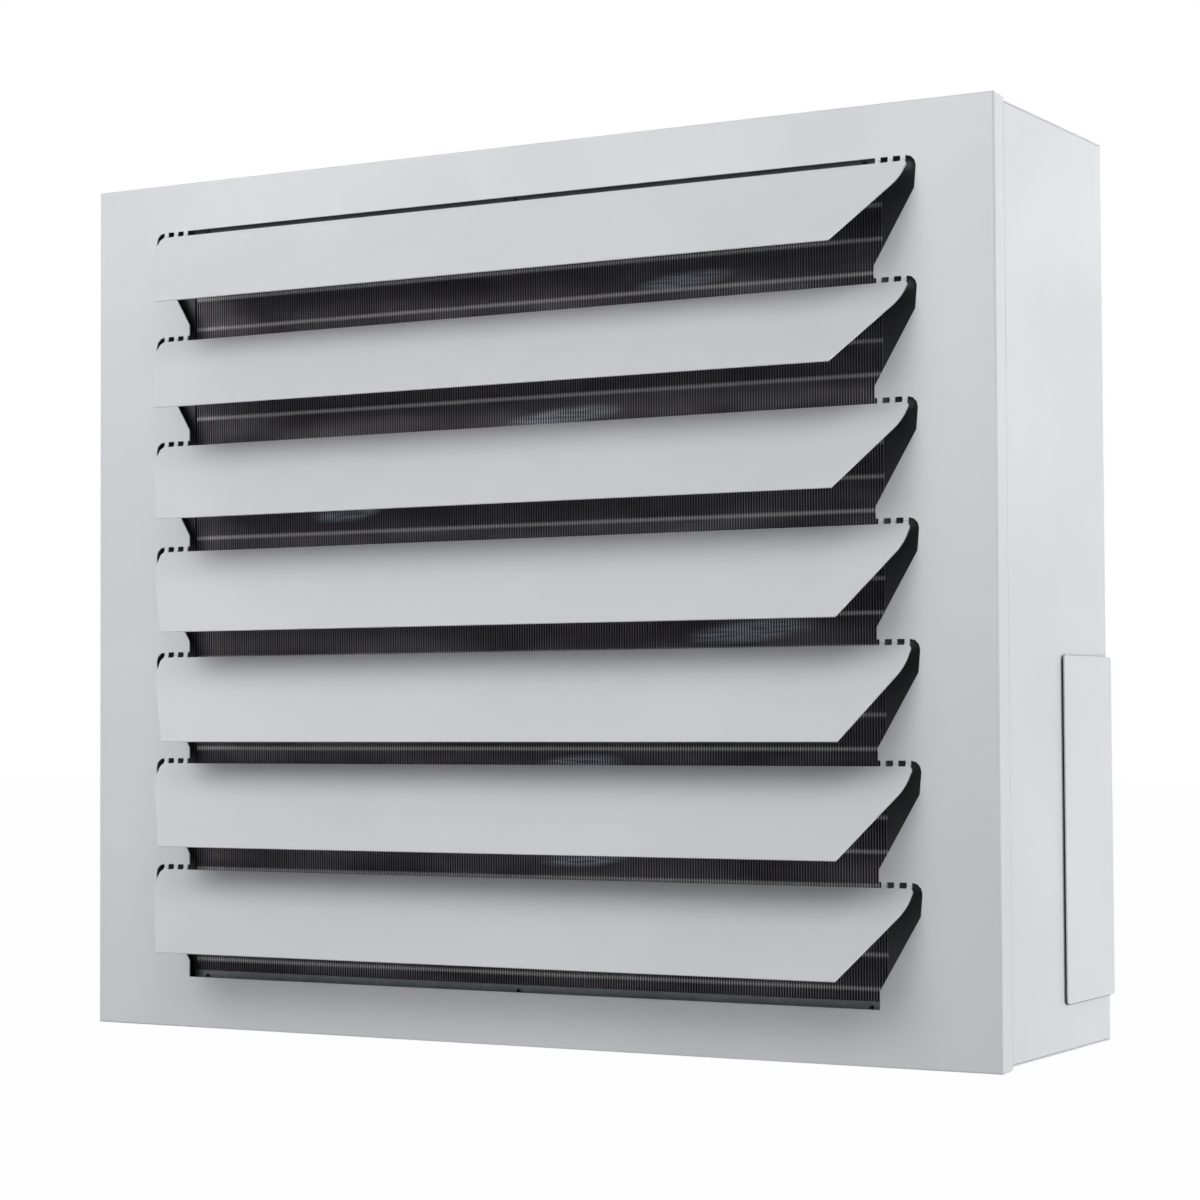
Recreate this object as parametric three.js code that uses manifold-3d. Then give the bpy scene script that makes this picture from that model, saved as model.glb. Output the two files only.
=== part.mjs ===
// Suspended warm-air unit heater: a painted sheet-steel casing with seven hand-set louvres in front,
// a finned water coil behind them and an axial fan on a wire basket at the rear.
// Millimetres. While it is built, X is to the right, Y to the rear and Z up, from the middle of the
// front face. The finished unit is moved so that the origin is on the flat top of the casing, midway
// between the four threaded hanger inserts.
import * as THREE from 'three';
import { mergeVertices } from 'three/addons/utils/BufferGeometryUtils.js';
import Module from 'manifold-3d';

const wasm = await Module();
wasm.setup();

// ---------------------------------------------------------------- driving dimensions
const sheet = 1.0;               // all casing sheet
const gap = 0.2;                 // running clearance between neighbouring pieces

const frontWidth = 655;          // front panel, a shallow tray
const frontHeight = 565;
const frontFlange = 15;          // depth of the tray's folded rim
const frontEdgeRadius = 1.6;     // outer radius of the rim's fold
const cornerNotch = 1.3;         // relief cut at the four folded corners

const casingStep = 3;            // the front panel stands this far above and below the casing
const casingDepth = 176;         // front face to rear sheet
const casingLip = 14;            // inward flanges of the casing sheets
const hangerSetback = 90;        // front face to the line between the hanger inserts

const louvrePitch = 70.8;
const topMargin = 34.9;          // top edge of the panel to the first bend line
const footMargin = 33.5;         // least height of sheet under the last opening
const louvreAngles = [42.4, 43.4, 40.9, 36.5, 35.1, 38.7, 41.4];   // degrees open, set by hand
const louvreTipGap = 1.3;        // free edge of a closed louvre to the next bend line
const louvreEndGap = 4.8;        // cut between a louvre's ends and the widest part of its opening
const louvreCorner = 3;          // upper corners of a louvre
const louvreFootInset = 35;      // ends of the free edge, in from the widest part of the opening
const slitRise = 2.55;           // punched slots along each bend line: above it
const slitDrop = 1.35;           // and below it
const sideMargin = 49;           // side of the panel to the openings
const slotInsets = [25.9, 22.5, 17.9, 14.5, 9.9, 6.5];   // in from there: tab, slot, tab, slot, tab
const openingTaper = 1.2;        // the upright part of an opening's side leans in this much
const openingSlant = 26.3;       // the slanted part leans in this much
const openingCorner = 6.3;       // corner radius
const slantStart = 17;           // below the bend line
const slantEnd = 61;
const lastOpeningSill = 1.0;     // the lowest opening is this much taller than the pitch

const coilOverlap = 1.6;         // finned pack past the narrow part of the openings
const coilHeadroom = 17.5;       // casing to the coil's channels
const coilFront = 10;            // front face of the fins behind the front face
const finDepth = 45;
const finPitch = 7.2;            // drawn fins; the real pack has one every 1.8 mm
const finSheet = 1.0;
const finCore = 5;               // web between the front and rear slots, in place of the tubes
const channelLip = 17;
const coilSheet = 1.2;
const endFlange = 27;            // flanges of the coil's end plates
const stripHoleInset = 10.6;     // fixing holes in the coil channel's front lip
const stripHoleHeight = 4.2;     // above that lip's edge
const stripHoleRadius = 1.8;
const tubePitch = 42;            // within a row; the rear row is staggered by half a pitch
const tubeRadius = 4.8;

const headerRadius = 10.5;
const headerWall = 1.5;
const headerSpacing = 24;        // between the two headers' centre lines
const headerSideRoom = 34.5;     // side sheet to the headers' centre lines
const headerEndRoom = 22;        // end of the coil to the long end of each header
const headerShortRoom = 57;      // and to its short end
const stubRoom = 39;             // end of the coil to the connection
const stubRadius = 13.2;         // 3/4 inch pipe connection
const stubBore = 10;
const stubNeck = 2;              // the pipe before the thread is this much slimmer
const stubThread = 31;           // length of the threaded end
const stubChamfer = 0.8;
const stubReach = 36;            // behind the rear sheet
const stubHexBack = 22;          // hexagon's front face from the connection's end
const stubHexLength = 8;
const stubHexRise = 2;
const plugRadius = 7.5;          // drain plug and air vent
const plugLength = 14;
const grommetGrip = 3.4;         // rubber between the pipe and the rear sheet
const grommetLip = 4;
const grommetThick = 3;

const fanRadius = 198;           // blade tips
const tipClearance = 4;          // to the inlet ring
const ringCurl = 20;             // radius of the inlet ring's rolled mouth
const throatLength = 30;
const bladeCount = 5;
const bladeSheet = 1.8;
const bladeFront = 112;          // blade leading edge from the front face
const bladeHeight = 44;
const bladeCamber = 6;
const bladeTurn = 1.8;           // degrees, keeps blade roots off the hub band's corners
const rotorRadius = 51;
const rotorNose = 11;            // rotor in front of the blades
const rotorLength = 62;
const rotorGap = 1;              // to the stator
const rotorEdge = 8;             // dished rim of the rotor's front
const rotorBoss = 9;
const statorRadius = 47;
const statorLength = 42;
const statorWaist = 6;           // depth of the cooling fins
const statorFinSheet = 2.4;
const statorFins = 10;
const hubWall = 3;
const hubOverhang = 4;           // hub band past the blades, each way

const basketWire = 4.6;          // guard wire, drawn square
const basketDepth = 40;          // rear sheet to the basket's flat back
const basketLand = 14;           // inlet ring to the basket's feet
const basketRingPitch = 38;
const basketFirstRing = 32;      // centre plate to the first ring
const basketShoulder = 24;       // last bend of the arms, in from the feet
const basketBend = 16.8;         // depth of the slanted part of the arms
const basketArms = 6;
const basketPlate = 60;          // outer radius of its centre plate
const basketPlateBore = 14;
const basketPlateSheet = 2.5;    // centre plate and foot pads
const basketPadWidth = 14;
const footScrewReach = 11;       // foot to its screw

const screwHead = 4.6;           // pan-head screws
const screwHeight = 3.1;
const screwHole = 2.8;

const coverHeight = 209;         // service cover on the right side
const coverWidth = 80.5;
const coverFoot = 28.5;          // above the casing's bottom
const coverOverhang = 2.5;       // how far the cover's folded rear edge stands behind the casing
const coverCorner = 2.5;
const coverScrewInset = 30;
const sealThick = 1.2;
const sealInset = 1.2;
const sealWidth = 9;

const insertSpanX = 480;         // hanger inserts, M8
const insertSpanY = 110;
const insertFlange = 8;
const insertFlangeSheet = 1.1;
const insertBody = 5.5;
const insertBore = 4.2;
const insertLength = 16;

const clipInset = 98.25;         // spring clips, in from the panel's sides
const clipLength = 18;
const clipStart = 4;             // behind the front face
const clipWidth = 9;
const clipSheet = 0.5;

const bracketRoom = 42.5;        // side sheet to the terminal bracket
const bracketSetback = 18;       // bracket behind the cover's front edge
const bracketHead = 22;          // under the cover's top edge
const bracketSill = 38;          // over its bottom edge
const bracketSheet = 1.5;
const bracketFlange = 16;
const terminalPoles = 6;
const polePitch = 13;
const stripSetback = 12;         // strip behind the bracket's front edge, and above its foot
const stripDepth = 24;
const stripRise = 19;
const wellSize = 7;
const wellInset = 5.5;           // well's middle from the strip's edge
const wellDepth = 9;
const ribSlot = 2;
const canRadius = 15;
const canClearance = 2;
const canGap = 4;                // to the terminal strip, and to the bracket's top
const clipBandSheet = 1.2;
const clipBandWidth = 12;
const clipBandHeight = 18;       // above the capacitor's foot
const glandThread = 8;
const glandBore = 4;
const glandBody = 11.5;
const glandBodyLength = 18;
const glandTail = 9;
const glandNutRadius = 13;
const glandNutLength = 5;
const glandRoom = 34.5;          // side sheet to the outer gland
const glandSpacing = 30;
const glandFoot = 29.5;          // casing's bottom to the outer gland
const glandStagger = 4;

// ---------------------------------------------------------------- materials
function finish(color, roughness, metalness) {
  return new THREE.MeshStandardMaterial({ color, roughness, metalness });
}
const whitePaint = finish(0xdcdee1, 0.42, 0.0);
const galvanised = finish(0x8d9094, 0.45, 0.9);
const blackFin = finish(0x1e1c20, 0.45, 0.35);
const copper = finish(0xb2704a, 0.35, 1.0);
const brass = finish(0xb8964f, 0.35, 1.0);
const blackPaint = finish(0x1b1b1d, 0.4, 0.4);
const blackCasting = finish(0x232326, 0.55, 0.3);
const rubber = finish(0x18181a, 0.85, 0.0);
const zincScrew = finish(0xc3c5c8, 0.3, 1.0);
const greyPlastic = finish(0x77797c, 0.6, 0.0);
const paleNylon = finish(0xc9c9c4, 0.55, 0.0);

// ---------------------------------------------------------------- making solids
function toSolid(geometry) {
  const bare = geometry.clone();
  bare.deleteAttribute('normal');
  bare.deleteAttribute('uv');
  const merged = mergeVertices(bare.index ? bare.toNonIndexed() : bare, 1e-4);
  return new wasm.Manifold(new wasm.Mesh({
    numProp: 3,
    vertProperties: new Float32Array(merged.attributes.position.array),
    triVerts: new Uint32Array(merged.index.array),
  }));
}

function fromSolid(solid) {
  const mesh = solid.getMesh();
  const geometry = new THREE.BufferGeometry();
  geometry.setAttribute('position', new THREE.BufferAttribute(new Float32Array(mesh.vertProperties), 3));
  geometry.setIndex(new THREE.BufferAttribute(new Uint32Array(mesh.triVerts), 1));
  geometry.computeVertexNormals();
  return geometry;
}

const unit = new THREE.Group();

function place(name, solid, material, parent = unit) {
  const mesh = new THREE.Mesh(fromSolid(solid), material);
  mesh.name = name;
  parent.add(mesh);
  return mesh;
}

// a block between two opposite corners
function block(x0, x1, y0, y1, z0, z1) {
  const geometry = new THREE.BoxGeometry(x1 - x0, y1 - y0, z1 - z0);
  geometry.translate((x0 + x1) / 2, (y0 + y1) / 2, (z0 + z1) / 2);
  return toSolid(geometry);
}

function extrude(shape, depth, curveSegments = 3) {
  return new THREE.ExtrudeGeometry(shape, { depth, bevelEnabled: false, curveSegments });
}

// an outline drawn as (x, z), given a thickness from y0 to the rear
function sheetFacingFront(shape, y0, depth, curveSegments) {
  const geometry = extrude(shape, depth, curveSegments);
  geometry.rotateX(Math.PI / 2);
  geometry.translate(0, y0 + depth, 0);
  return toSolid(geometry);
}

// an outline drawn as (y, z), given a thickness from x0 to the right
function sheetFacingSide(shape, x0, depth, curveSegments) {
  const geometry = extrude(shape, depth, curveSegments);
  const turn = new THREE.Matrix4().makeBasis(
    new THREE.Vector3(0, 1, 0), new THREE.Vector3(0, 0, 1), new THREE.Vector3(1, 0, 0));
  geometry.applyMatrix4(turn);
  geometry.translate(x0, 0, 0);
  return toSolid(geometry);
}

function outline(points) {
  return new THREE.Shape(points.map(([u, v]) => new THREE.Vector2(u, v)));
}

function rectangle(u0, u1, v0, v1, radius = 0) {
  const shape = new THREE.Shape();
  if (radius === 0) return outline([[u0, v0], [u1, v0], [u1, v1], [u0, v1]]);
  shape.moveTo(u0 + radius, v0);
  shape.lineTo(u1 - radius, v0);
  shape.absarc(u1 - radius, v0 + radius, radius, -Math.PI / 2, 0);
  shape.lineTo(u1, v1 - radius);
  shape.absarc(u1 - radius, v1 - radius, radius, 0, Math.PI / 2);
  shape.lineTo(u0 + radius, v1);
  shape.absarc(u0 + radius, v1 - radius, radius, Math.PI / 2, Math.PI);
  shape.lineTo(u0, v0 + radius);
  shape.absarc(u0 + radius, v0 + radius, radius, Math.PI, Math.PI * 1.5);
  return shape;
}

// a profile of (radius, along) pairs turned about an axis through (x, z), running to the rear
function turnedToRear(profile, x, z, sides) {
  const geometry = new THREE.LatheGeometry(profile.map(([r, y]) => new THREE.Vector2(r, y)), sides);
  geometry.translate(x, 0, z);
  return toSolid(geometry);
}

// the same about an upright axis through (x, y)
function turnedUpright(profile, x, y, sides) {
  const geometry = new THREE.LatheGeometry(profile.map(([r, h]) => new THREE.Vector2(r, h)), sides);
  geometry.rotateX(Math.PI / 2);
  geometry.translate(x, y, 0);
  return toSolid(geometry);
}

// the same about an axis across the unit through (y, z)
function turnedAcross(profile, y, z, sides) {
  const geometry = new THREE.LatheGeometry(profile.map(([r, x]) => new THREE.Vector2(r, x)), sides);
  geometry.rotateZ(-Math.PI / 2);
  geometry.translate(0, y, z);
  return toSolid(geometry);
}

// rings of an even number of points joined to a closed skin; each end is closed by a strip of
// quads between the two halves of its ring, so a curved end stays curved
function loft(rings) {
  const count = rings[0].length;
  const positions = rings.flat().flatMap((p) => [p.x, p.y, p.z]);
  const index = [];
  for (let r = 0; r < rings.length - 1; r += 1) {
    for (let i = 0; i < count; i += 1) {
      const a = r * count + i;
      const b = r * count + (i + 1) % count;
      // both faces of a thin twisted sheet are split along the same diagonals
      if (i < count / 2) index.push(a, b, b + count, a, b + count, a + count);
      else index.push(a, b, a + count, b, b + count, a + count);
    }
  }
  const last = (rings.length - 1) * count;
  for (let i = 0; i < count / 2 - 1; i += 1) {
    const [a, b, c, d] = [i, i + 1, count - 2 - i, count - 1 - i];
    index.push(a, c, b, a, d, c);
    index.push(last + a, last + b, last + c, last + a, last + c, last + d);
  }
  const geometry = new THREE.BufferGeometry();
  geometry.setAttribute('position', new THREE.BufferAttribute(new Float32Array(positions), 3));
  geometry.setIndex(index);
  return toSolid(geometry);
}

// a round or square wire along a path
function wire(path, radius, sides, steps) {
  const section = new THREE.Shape();
  for (let i = 0; i < sides; i += 1) {
    const angle = ((i + 0.5) / sides) * Math.PI * 2;
    const point = [radius * Math.cos(angle), radius * Math.sin(angle)];
    if (i === 0) section.moveTo(...point);
    else section.lineTo(...point);
  }
  return toSolid(new THREE.ExtrudeGeometry(section, { steps, extrudePath: path, bevelEnabled: false }));
}

function joined(solids) {
  return solids.reduce((whole, next) => whole.add(next));
}

// ---------------------------------------------------------------- shared places
const sideOuter = frontWidth / 2;
const sideInner = sideOuter - sheet;
const topOuter = frontHeight / 2 - casingStep;
const topInner = topOuter - sheet;
const rearInner = casingDepth - sheet;
const louvreCount = Math.floor((frontHeight - topMargin - footMargin) / louvrePitch);
const louvreLength = louvrePitch - louvreTipGap;
const bendHeight = (i) => frontHeight / 2 - topMargin - i * louvrePitch;
const openingHalf = sideOuter - sideMargin;
const openingHalfLow = openingHalf - openingTaper;
const openingWaist = openingHalfLow - openingSlant;
const slotEnds = slotInsets.map((inset) => openingHalf - inset);

// ---------------------------------------------------------------- front panel
// One opening is cut for all louvres. Between two louvres a tooth of sheet stands in from each side,
// and its lower edge carries the three tabs that the louvre below hangs from.
function openingSide(i) {
  const bend = bendHeight(i);
  const slitTop = bend + slitRise;
  const tabFoot = bend + sheet / 2 + gap;
  const points = [[slotEnds[0], slitTop]];
  for (let k = 0; k < slotEnds.length; k += 2) {
    points.push([slotEnds[k], tabFoot], [slotEnds[k + 1], tabFoot], [slotEnds[k + 1], slitTop]);
    if (k + 2 < slotEnds.length) points.push([slotEnds[k + 2], slitTop]);
  }
  for (let a = 0; a <= 3; a += 1) {
    const angle = Math.PI / 2 - (a / 3) * (Math.PI / 2);
    points.push([
      openingHalf - openingCorner + openingCorner * Math.cos(angle),
      slitTop - openingCorner + openingCorner * Math.sin(angle),
    ]);
  }
  points.push([openingHalfLow, bend - slantStart], [openingWaist, bend - slantEnd]);
  const foot = i === louvreCount - 1
    ? bend - louvrePitch - lastOpeningSill
    : bendHeight(i + 1) + slitRise;
  points.push([openingWaist, foot]);
  return points;
}

function panelOpening() {
  const right = [];
  for (let i = 0; i < louvreCount; i += 1) right.push(...openingSide(i));
  const left = right.map(([x, z]) => [-x, z]).reverse();
  return outline([...right, ...left]);
}

function frontPanel() {
  const rings = [];
  const foldSteps = 3;
  const ringAt = (inset, y) => {
    const x = sideOuter - inset;
    const z = frontHeight / 2 - inset;
    return [[x, -z], [-x, -z], [-x, z], [x, z]].map(([px, pz]) => new THREE.Vector3(px, y, pz));
  };
  for (let s = 0; s <= foldSteps; s += 1) {
    const angle = (s / foldSteps) * (Math.PI / 2);
    rings.push(ringAt(frontEdgeRadius * (1 - Math.sin(angle)), frontEdgeRadius * (1 - Math.cos(angle))));
  }
  rings.push(ringAt(0, frontFlange));
  let solid = loft(rings);
  const inX = sideOuter - sheet;
  const inZ = frontHeight / 2 - sheet;
  solid = solid.subtract(block(-inX, inX, sheet, frontFlange + sheet, -inZ, inZ));
  for (const sx of [-1, 1]) {
    for (const sz of [-1, 1]) {
      const x = sx * sideOuter;
      const z = (sz * frontHeight) / 2;
      solid = solid.subtract(block(
        x - cornerNotch, x + cornerNotch, frontEdgeRadius + sheet, frontFlange + sheet,
        z - cornerNotch, z + cornerNotch));
    }
  }
  return solid.subtract(sheetFacingFront(panelOpening(), -sheet, sheet * 3));
}
place('front_panel', frontPanel(), whitePaint);

// ---------------------------------------------------------------- louvres
// A flat flap in its own frame: the bend line is the X axis and the free edge hangs down.
function louvreOutline() {
  const centreX = openingHalf - louvreEndGap - louvreCorner;
  const centreZ = -slitDrop - louvreCorner;
  const right = [];
  for (let a = 0; a <= 2; a += 1) {
    const angle = Math.PI / 2 - (a / 2) * (Math.PI / 2);
    right.push([centreX + louvreCorner * Math.cos(angle), centreZ + louvreCorner * Math.sin(angle)]);
  }
  right.push([openingHalfLow - louvreEndGap, -slantStart], [openingHalf - louvreFootInset, -louvreLength]);
  return outline([...right, ...right.map(([x, z]) => [-x, z]).reverse()]);
}

function louvre() {
  const half = sheet / 2;
  const root = -slitDrop - sheet;
  const roll = outline([[-half, root], [half, root], [half, 0], [half * 0.5, half * 0.87],
    [-half * 0.5, half * 0.87], [-half, 0]]);
  let solid = sheetFacingFront(louvreOutline(), -half, sheet);
  for (const side of [-1, 1]) {
    for (let k = 0; k < slotEnds.length; k += 2) {
      const from = Math.min(side * slotEnds[k], side * slotEnds[k + 1]);
      solid = solid.add(sheetFacingSide(roll, from, slotEnds[k + 1] - slotEnds[k]));
    }
  }
  return solid;
}

for (let i = 0; i < louvreCount; i += 1) {
  const flap = place(`louvre_${i + 1}`, louvre(), whitePaint);
  flap.position.set(0, sheet / 2, bendHeight(i));
  flap.rotation.x = -THREE.MathUtils.degToRad(louvreAngles[i % louvreAngles.length]);
}

// ---------------------------------------------------------------- casing sheets
const sideFront = frontFlange + gap;
const sideHalf = topInner - gap;
const coverBottom = coverFoot - topOuter;
const coverTop = coverBottom + coverHeight;
const coverRear = casingDepth + coverOverhang;
const coverFront = coverRear - coverWidth;
const windowFront = coverFront + sealInset + sealWidth;
const windowRear = rearInner - coilSheet - sealWidth + gap;
const windowTop = coverTop - sealInset - sealWidth;
const windowBottom = coverBottom + sealInset + sealWidth;

function sidePanel() {
  const skin = block(sideInner, sideOuter, sideFront, casingDepth, -sideHalf, sideHalf);
  const frontLip = block(
    sideOuter - casingLip, sideOuter, sideFront, sideFront + sheet, -sideHalf, sideHalf);
  const rearLip = block(
    sideOuter - casingLip, sideOuter, rearInner - gap - sheet, rearInner - gap, -sideHalf, sideHalf);
  return joined([skin, frontLip, rearLip]);
}
const serviceWindow = block(
  sideInner - casingLip, sideOuter + sheet, windowFront, windowRear, windowBottom, windowTop);
place('side_panel_right', sidePanel().subtract(serviceWindow), whitePaint);
place('side_panel_left', sidePanel().mirror([1, 0, 0]), whitePaint);

// top and bottom sheets lie over the side sheets and run in under the front panel's rim
const trayInner = sheet + gap;
const stiffenerHalf = sideOuter - casingLip - gap;

function topSheet() {
  const skin = block(-sideOuter, sideOuter, sideFront, casingDepth, topInner, topOuter);
  const tongueHalf = sideInner - gap;
  const tongue = block(-tongueHalf, tongueHalf, trayInner, sideFront + sheet, topInner, topOuter);
  const frontLip = block(
    -tongueHalf, tongueHalf, trayInner, trayInner + sheet, topOuter - casingLip, topOuter);
  const rearLip = block(
    -stiffenerHalf, stiffenerHalf, rearInner - gap - sheet, rearInner - gap,
    topOuter - casingLip, topOuter);
  return joined([skin, tongue, frontLip, rearLip]);
}
const insertPlaces = [];
for (const sx of [-1, 1]) {
  for (const sy of [-1, 1]) {
    insertPlaces.push([(sx * insertSpanX) / 2, hangerSetback + (sy * insertSpanY) / 2]);
  }
}
let topPanel = topSheet();
for (const [x, y] of insertPlaces) {
  const hole = [[0, topInner - sheet], [insertBody + gap, topInner - sheet],
    [insertBody + gap, topOuter + sheet], [0, topOuter + sheet]];
  topPanel = topPanel.subtract(turnedUpright(hole, x, y, 10));
}
place('top_panel', topPanel, whitePaint);
place('bottom_panel', topSheet().mirror([0, 0, 1]), whitePaint);

// M8 blind rivet nuts that the hanging rods screw into
insertPlaces.forEach(([x, y], i) => {
  const foot = topInner - insertLength;
  const seat = topOuter + gap / 2;
  const head = seat + insertFlangeSheet;
  const profile = [
    [insertBore, foot], [insertBody, foot], [insertBody, seat], [insertFlange, seat],
    [insertFlange, head], [insertBore, head], [insertBore, foot],
  ];
  place(`hanger_insert_${i + 1}`, turnedUpright(profile, x, y, 10), zincScrew);
});

// spring clips between the front panel's rim and the top and bottom sheets
let clipNumber = 1;
for (const sz of [1, -1]) {
  for (const sx of [-1, 1]) {
    const x = sx * (sideOuter - clipInset);
    const low = topOuter + gap / 2;
    const high = frontHeight / 2 - sheet - gap / 2;
    const [y0, y1] = [clipStart, clipStart + clipWidth];
    const bow = outline([
      [y0, low], [y1, low], [y1, low + clipSheet], [y1 - clipWidth / 6, high],
      [y0 + clipWidth / 3, high], [y0, low + clipSheet]]);
    const clip = sheetFacingSide(bow, x - clipLength / 2, clipLength);
    place(`panel_clip_${clipNumber}`, sz > 0 ? clip : clip.mirror([0, 0, 1]), zincScrew);
    clipNumber += 1;
  }
}

// ---------------------------------------------------------------- rear panel with inlet ring
const glandPlaces = [
  [sideInner - glandRoom - glandSpacing, glandFoot + glandStagger - topOuter],
  [sideInner - glandRoom, glandFoot - topOuter]];
const coilHalfHeight = topOuter - coilHeadroom;
const headerX = sideInner - headerSideRoom;
const stubHeight = coilHalfHeight - stubRoom;
const stubPlaces = [['supply', -stubHeight], ['return', stubHeight]];
const grommetGroove = stubRadius + grommetGrip;
const throatRadius = fanRadius + tipClearance;
const mouthRadius = throatRadius + ringCurl;

function rearPanel() {
  const halfX = sideInner - gap;
  const halfZ = topInner - gap;
  const plate = rectangle(-halfX, halfX, -halfZ, halfZ);
  const mouth = new THREE.Path();
  mouth.absarc(0, 0, mouthRadius - sheet / 2, 0, Math.PI * 2, true);
  plate.holes.push(mouth);
  let solid = sheetFacingFront(plate, rearInner, sheet, 18);
  const profile = [];
  const curlSteps = 3;
  for (let s = 0; s <= curlSteps; s += 1) {
    const angle = (s / curlSteps) * (Math.PI / 2);
    profile.push([
      mouthRadius - ringCurl * Math.sin(angle), casingDepth - ringCurl * (1 - Math.cos(angle))]);
  }
  profile.push([throatRadius, casingDepth - ringCurl - throatLength]);
  const outer = [...profile].reverse().map(([r, y]) => [
    r + sheet * Math.min(1, (casingDepth - y) / ringCurl),
    y - sheet * Math.max(0, 1 - (casingDepth - y) / ringCurl),
  ]);
  outer[0] = [throatRadius + sheet, casingDepth - ringCurl - throatLength];
  solid = solid.add(turnedToRear([...profile, ...outer, profile[0]], 0, 0, 36));
  for (const [x, z] of glandPlaces) {
    const hole = [[0, rearInner - sheet], [glandThread + gap, rearInner - sheet],
      [glandThread + gap, casingDepth + sheet], [0, casingDepth + sheet]];
    solid = solid.subtract(turnedToRear(hole, x, z, 10));
  }
  for (const [, z] of stubPlaces) {
    const hole = [[0, rearInner - sheet], [grommetGroove + gap, rearInner - sheet],
      [grommetGroove + gap, casingDepth + sheet], [0, casingDepth + sheet]];
    solid = solid.subtract(turnedToRear(hole, -headerX, z, 14));
  }
  return solid;
}
place('rear_panel', rearPanel(), whitePaint);

// ---------------------------------------------------------------- water coil
// The fins are drawn as one comb, slotted from the front and the rear down to the tube rows.
const coilHalfWidth = openingWaist + coilOverlap;
function finPack() {
  const count = Math.floor((2 * coilHalfWidth - 2 * gap) / finPitch);
  const start = -(count * finPitch) / 2;
  const coreFront = coilFront + (finDepth - finCore) / 2;
  const coreRear = coreFront + finCore;
  const coilRear = coilFront + finDepth;
  const front = [];
  const rear = [];
  for (let i = 0; i <= count; i += 1) {
    const x = start + i * finPitch;
    const a = Math.max(x - finSheet / 2, start);
    const b = Math.min(x + finSheet / 2, -start);
    front.push([a, coreFront], [a, coilFront], [b, coilFront], [b, coreFront]);
    rear.push([a, coreRear], [a, coilRear], [b, coilRear], [b, coreRear]);
  }
  front.shift();
  front.pop();
  rear.shift();
  rear.pop();
  const shape = outline([...front, ...rear.reverse()]);
  const finHalf = coilHalfHeight - coilSheet - gap;
  const geometry = extrude(shape, 2 * finHalf);
  geometry.translate(0, 0, -finHalf);
  return toSolid(geometry);
}
place('coil_fins', finPack(), blackFin);

const frameFront = coilFront - gap - coilSheet;
const frameRear = coilFront + finDepth + gap + coilSheet;

function coilChannel() {
  const top = coilHalfHeight;
  const low = top - channelLip;
  const section = outline([
    [frameFront, low], [frameFront + coilSheet, low], [frameFront + coilSheet, top - coilSheet],
    [frameRear - coilSheet, top - coilSheet], [frameRear - coilSheet, low], [frameRear, low],
    [frameRear, top], [frameFront, top]]);
  let solid = sheetFacingSide(section, -coilHalfWidth, 2 * coilHalfWidth);
  const holeX = coilHalfWidth - stripHoleInset;
  for (const x of [-holeX, 0, holeX]) {
    const hole = [[0, frameFront - gap], [stripHoleRadius, frameFront - gap],
      [stripHoleRadius, coilFront], [0, coilFront]];
    solid = solid.subtract(turnedToRear(hole, x, low + stripHoleHeight, 8));
  }
  return solid;
}
place('coil_channel_top', coilChannel(), galvanised);
place('coil_channel_bottom', coilChannel().mirror([0, 0, 1]), galvanised);

const plateX = coilHalfWidth + gap;
const plateHalf = topInner - gap;
const coilMiddle = coilFront + finDepth / 2;
const tubeRowY = [coilMiddle - finDepth / 4, coilMiddle + finDepth / 4];
const tubeLevels = Math.floor((2 * coilHalfHeight) / tubePitch);
const tubeHeight = (level) => (level - (tubeLevels - 0.5) / 2) * tubePitch;

function endPlate() {
  const section = outline([
    [plateX, frameFront], [plateX + endFlange, frameFront], [plateX + endFlange, frameFront + coilSheet],
    [plateX + coilSheet, frameFront + coilSheet], [plateX + coilSheet, frameRear - coilSheet],
    [plateX + endFlange, frameRear - coilSheet], [plateX + endFlange, frameRear], [plateX, frameRear]]);
  const geometry = extrude(section, 2 * plateHalf);
  geometry.translate(0, 0, -plateHalf);
  return toSolid(geometry);
}

// hairpin bends outside the right-hand plate join each front tube to the rear tube half a pitch above
function hairpin(level) {
  const [yFront, yRear] = tubeRowY;
  const z = tubeHeight(level);
  const x0 = plateX + coilSheet / 2;
  const x1 = x0 + tubeRadius;
  const middle = new THREE.Vector3(x1, (yFront + yRear) / 2, z + tubePitch / 4);
  const across = new THREE.Vector3(0, (yRear - yFront) / 2, tubePitch / 4);
  const points = [new THREE.Vector3(x0, yFront, z)];
  for (let i = 0; i <= 4; i += 1) {
    const angle = -Math.PI / 2 + (i / 4) * Math.PI;
    points.push(middle.clone().addScaledVector(across, Math.sin(angle))
      .add(new THREE.Vector3(across.length() * Math.cos(angle), 0, 0)));
  }
  points.push(new THREE.Vector3(x0, yRear, z + tubePitch / 2));
  return wire(new THREE.CatmullRomCurve3(points, false, 'centripetal'), tubeRadius, 4, 5);
}

let rightPlate = endPlate();
for (let level = 0; level < tubeLevels; level += 1) rightPlate = rightPlate.add(hairpin(level));
place('coil_end_plate_right', rightPlate, blackPaint);
place('coil_end_plate_left', endPlate().mirror([1, 0, 0]), blackPaint);

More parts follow.
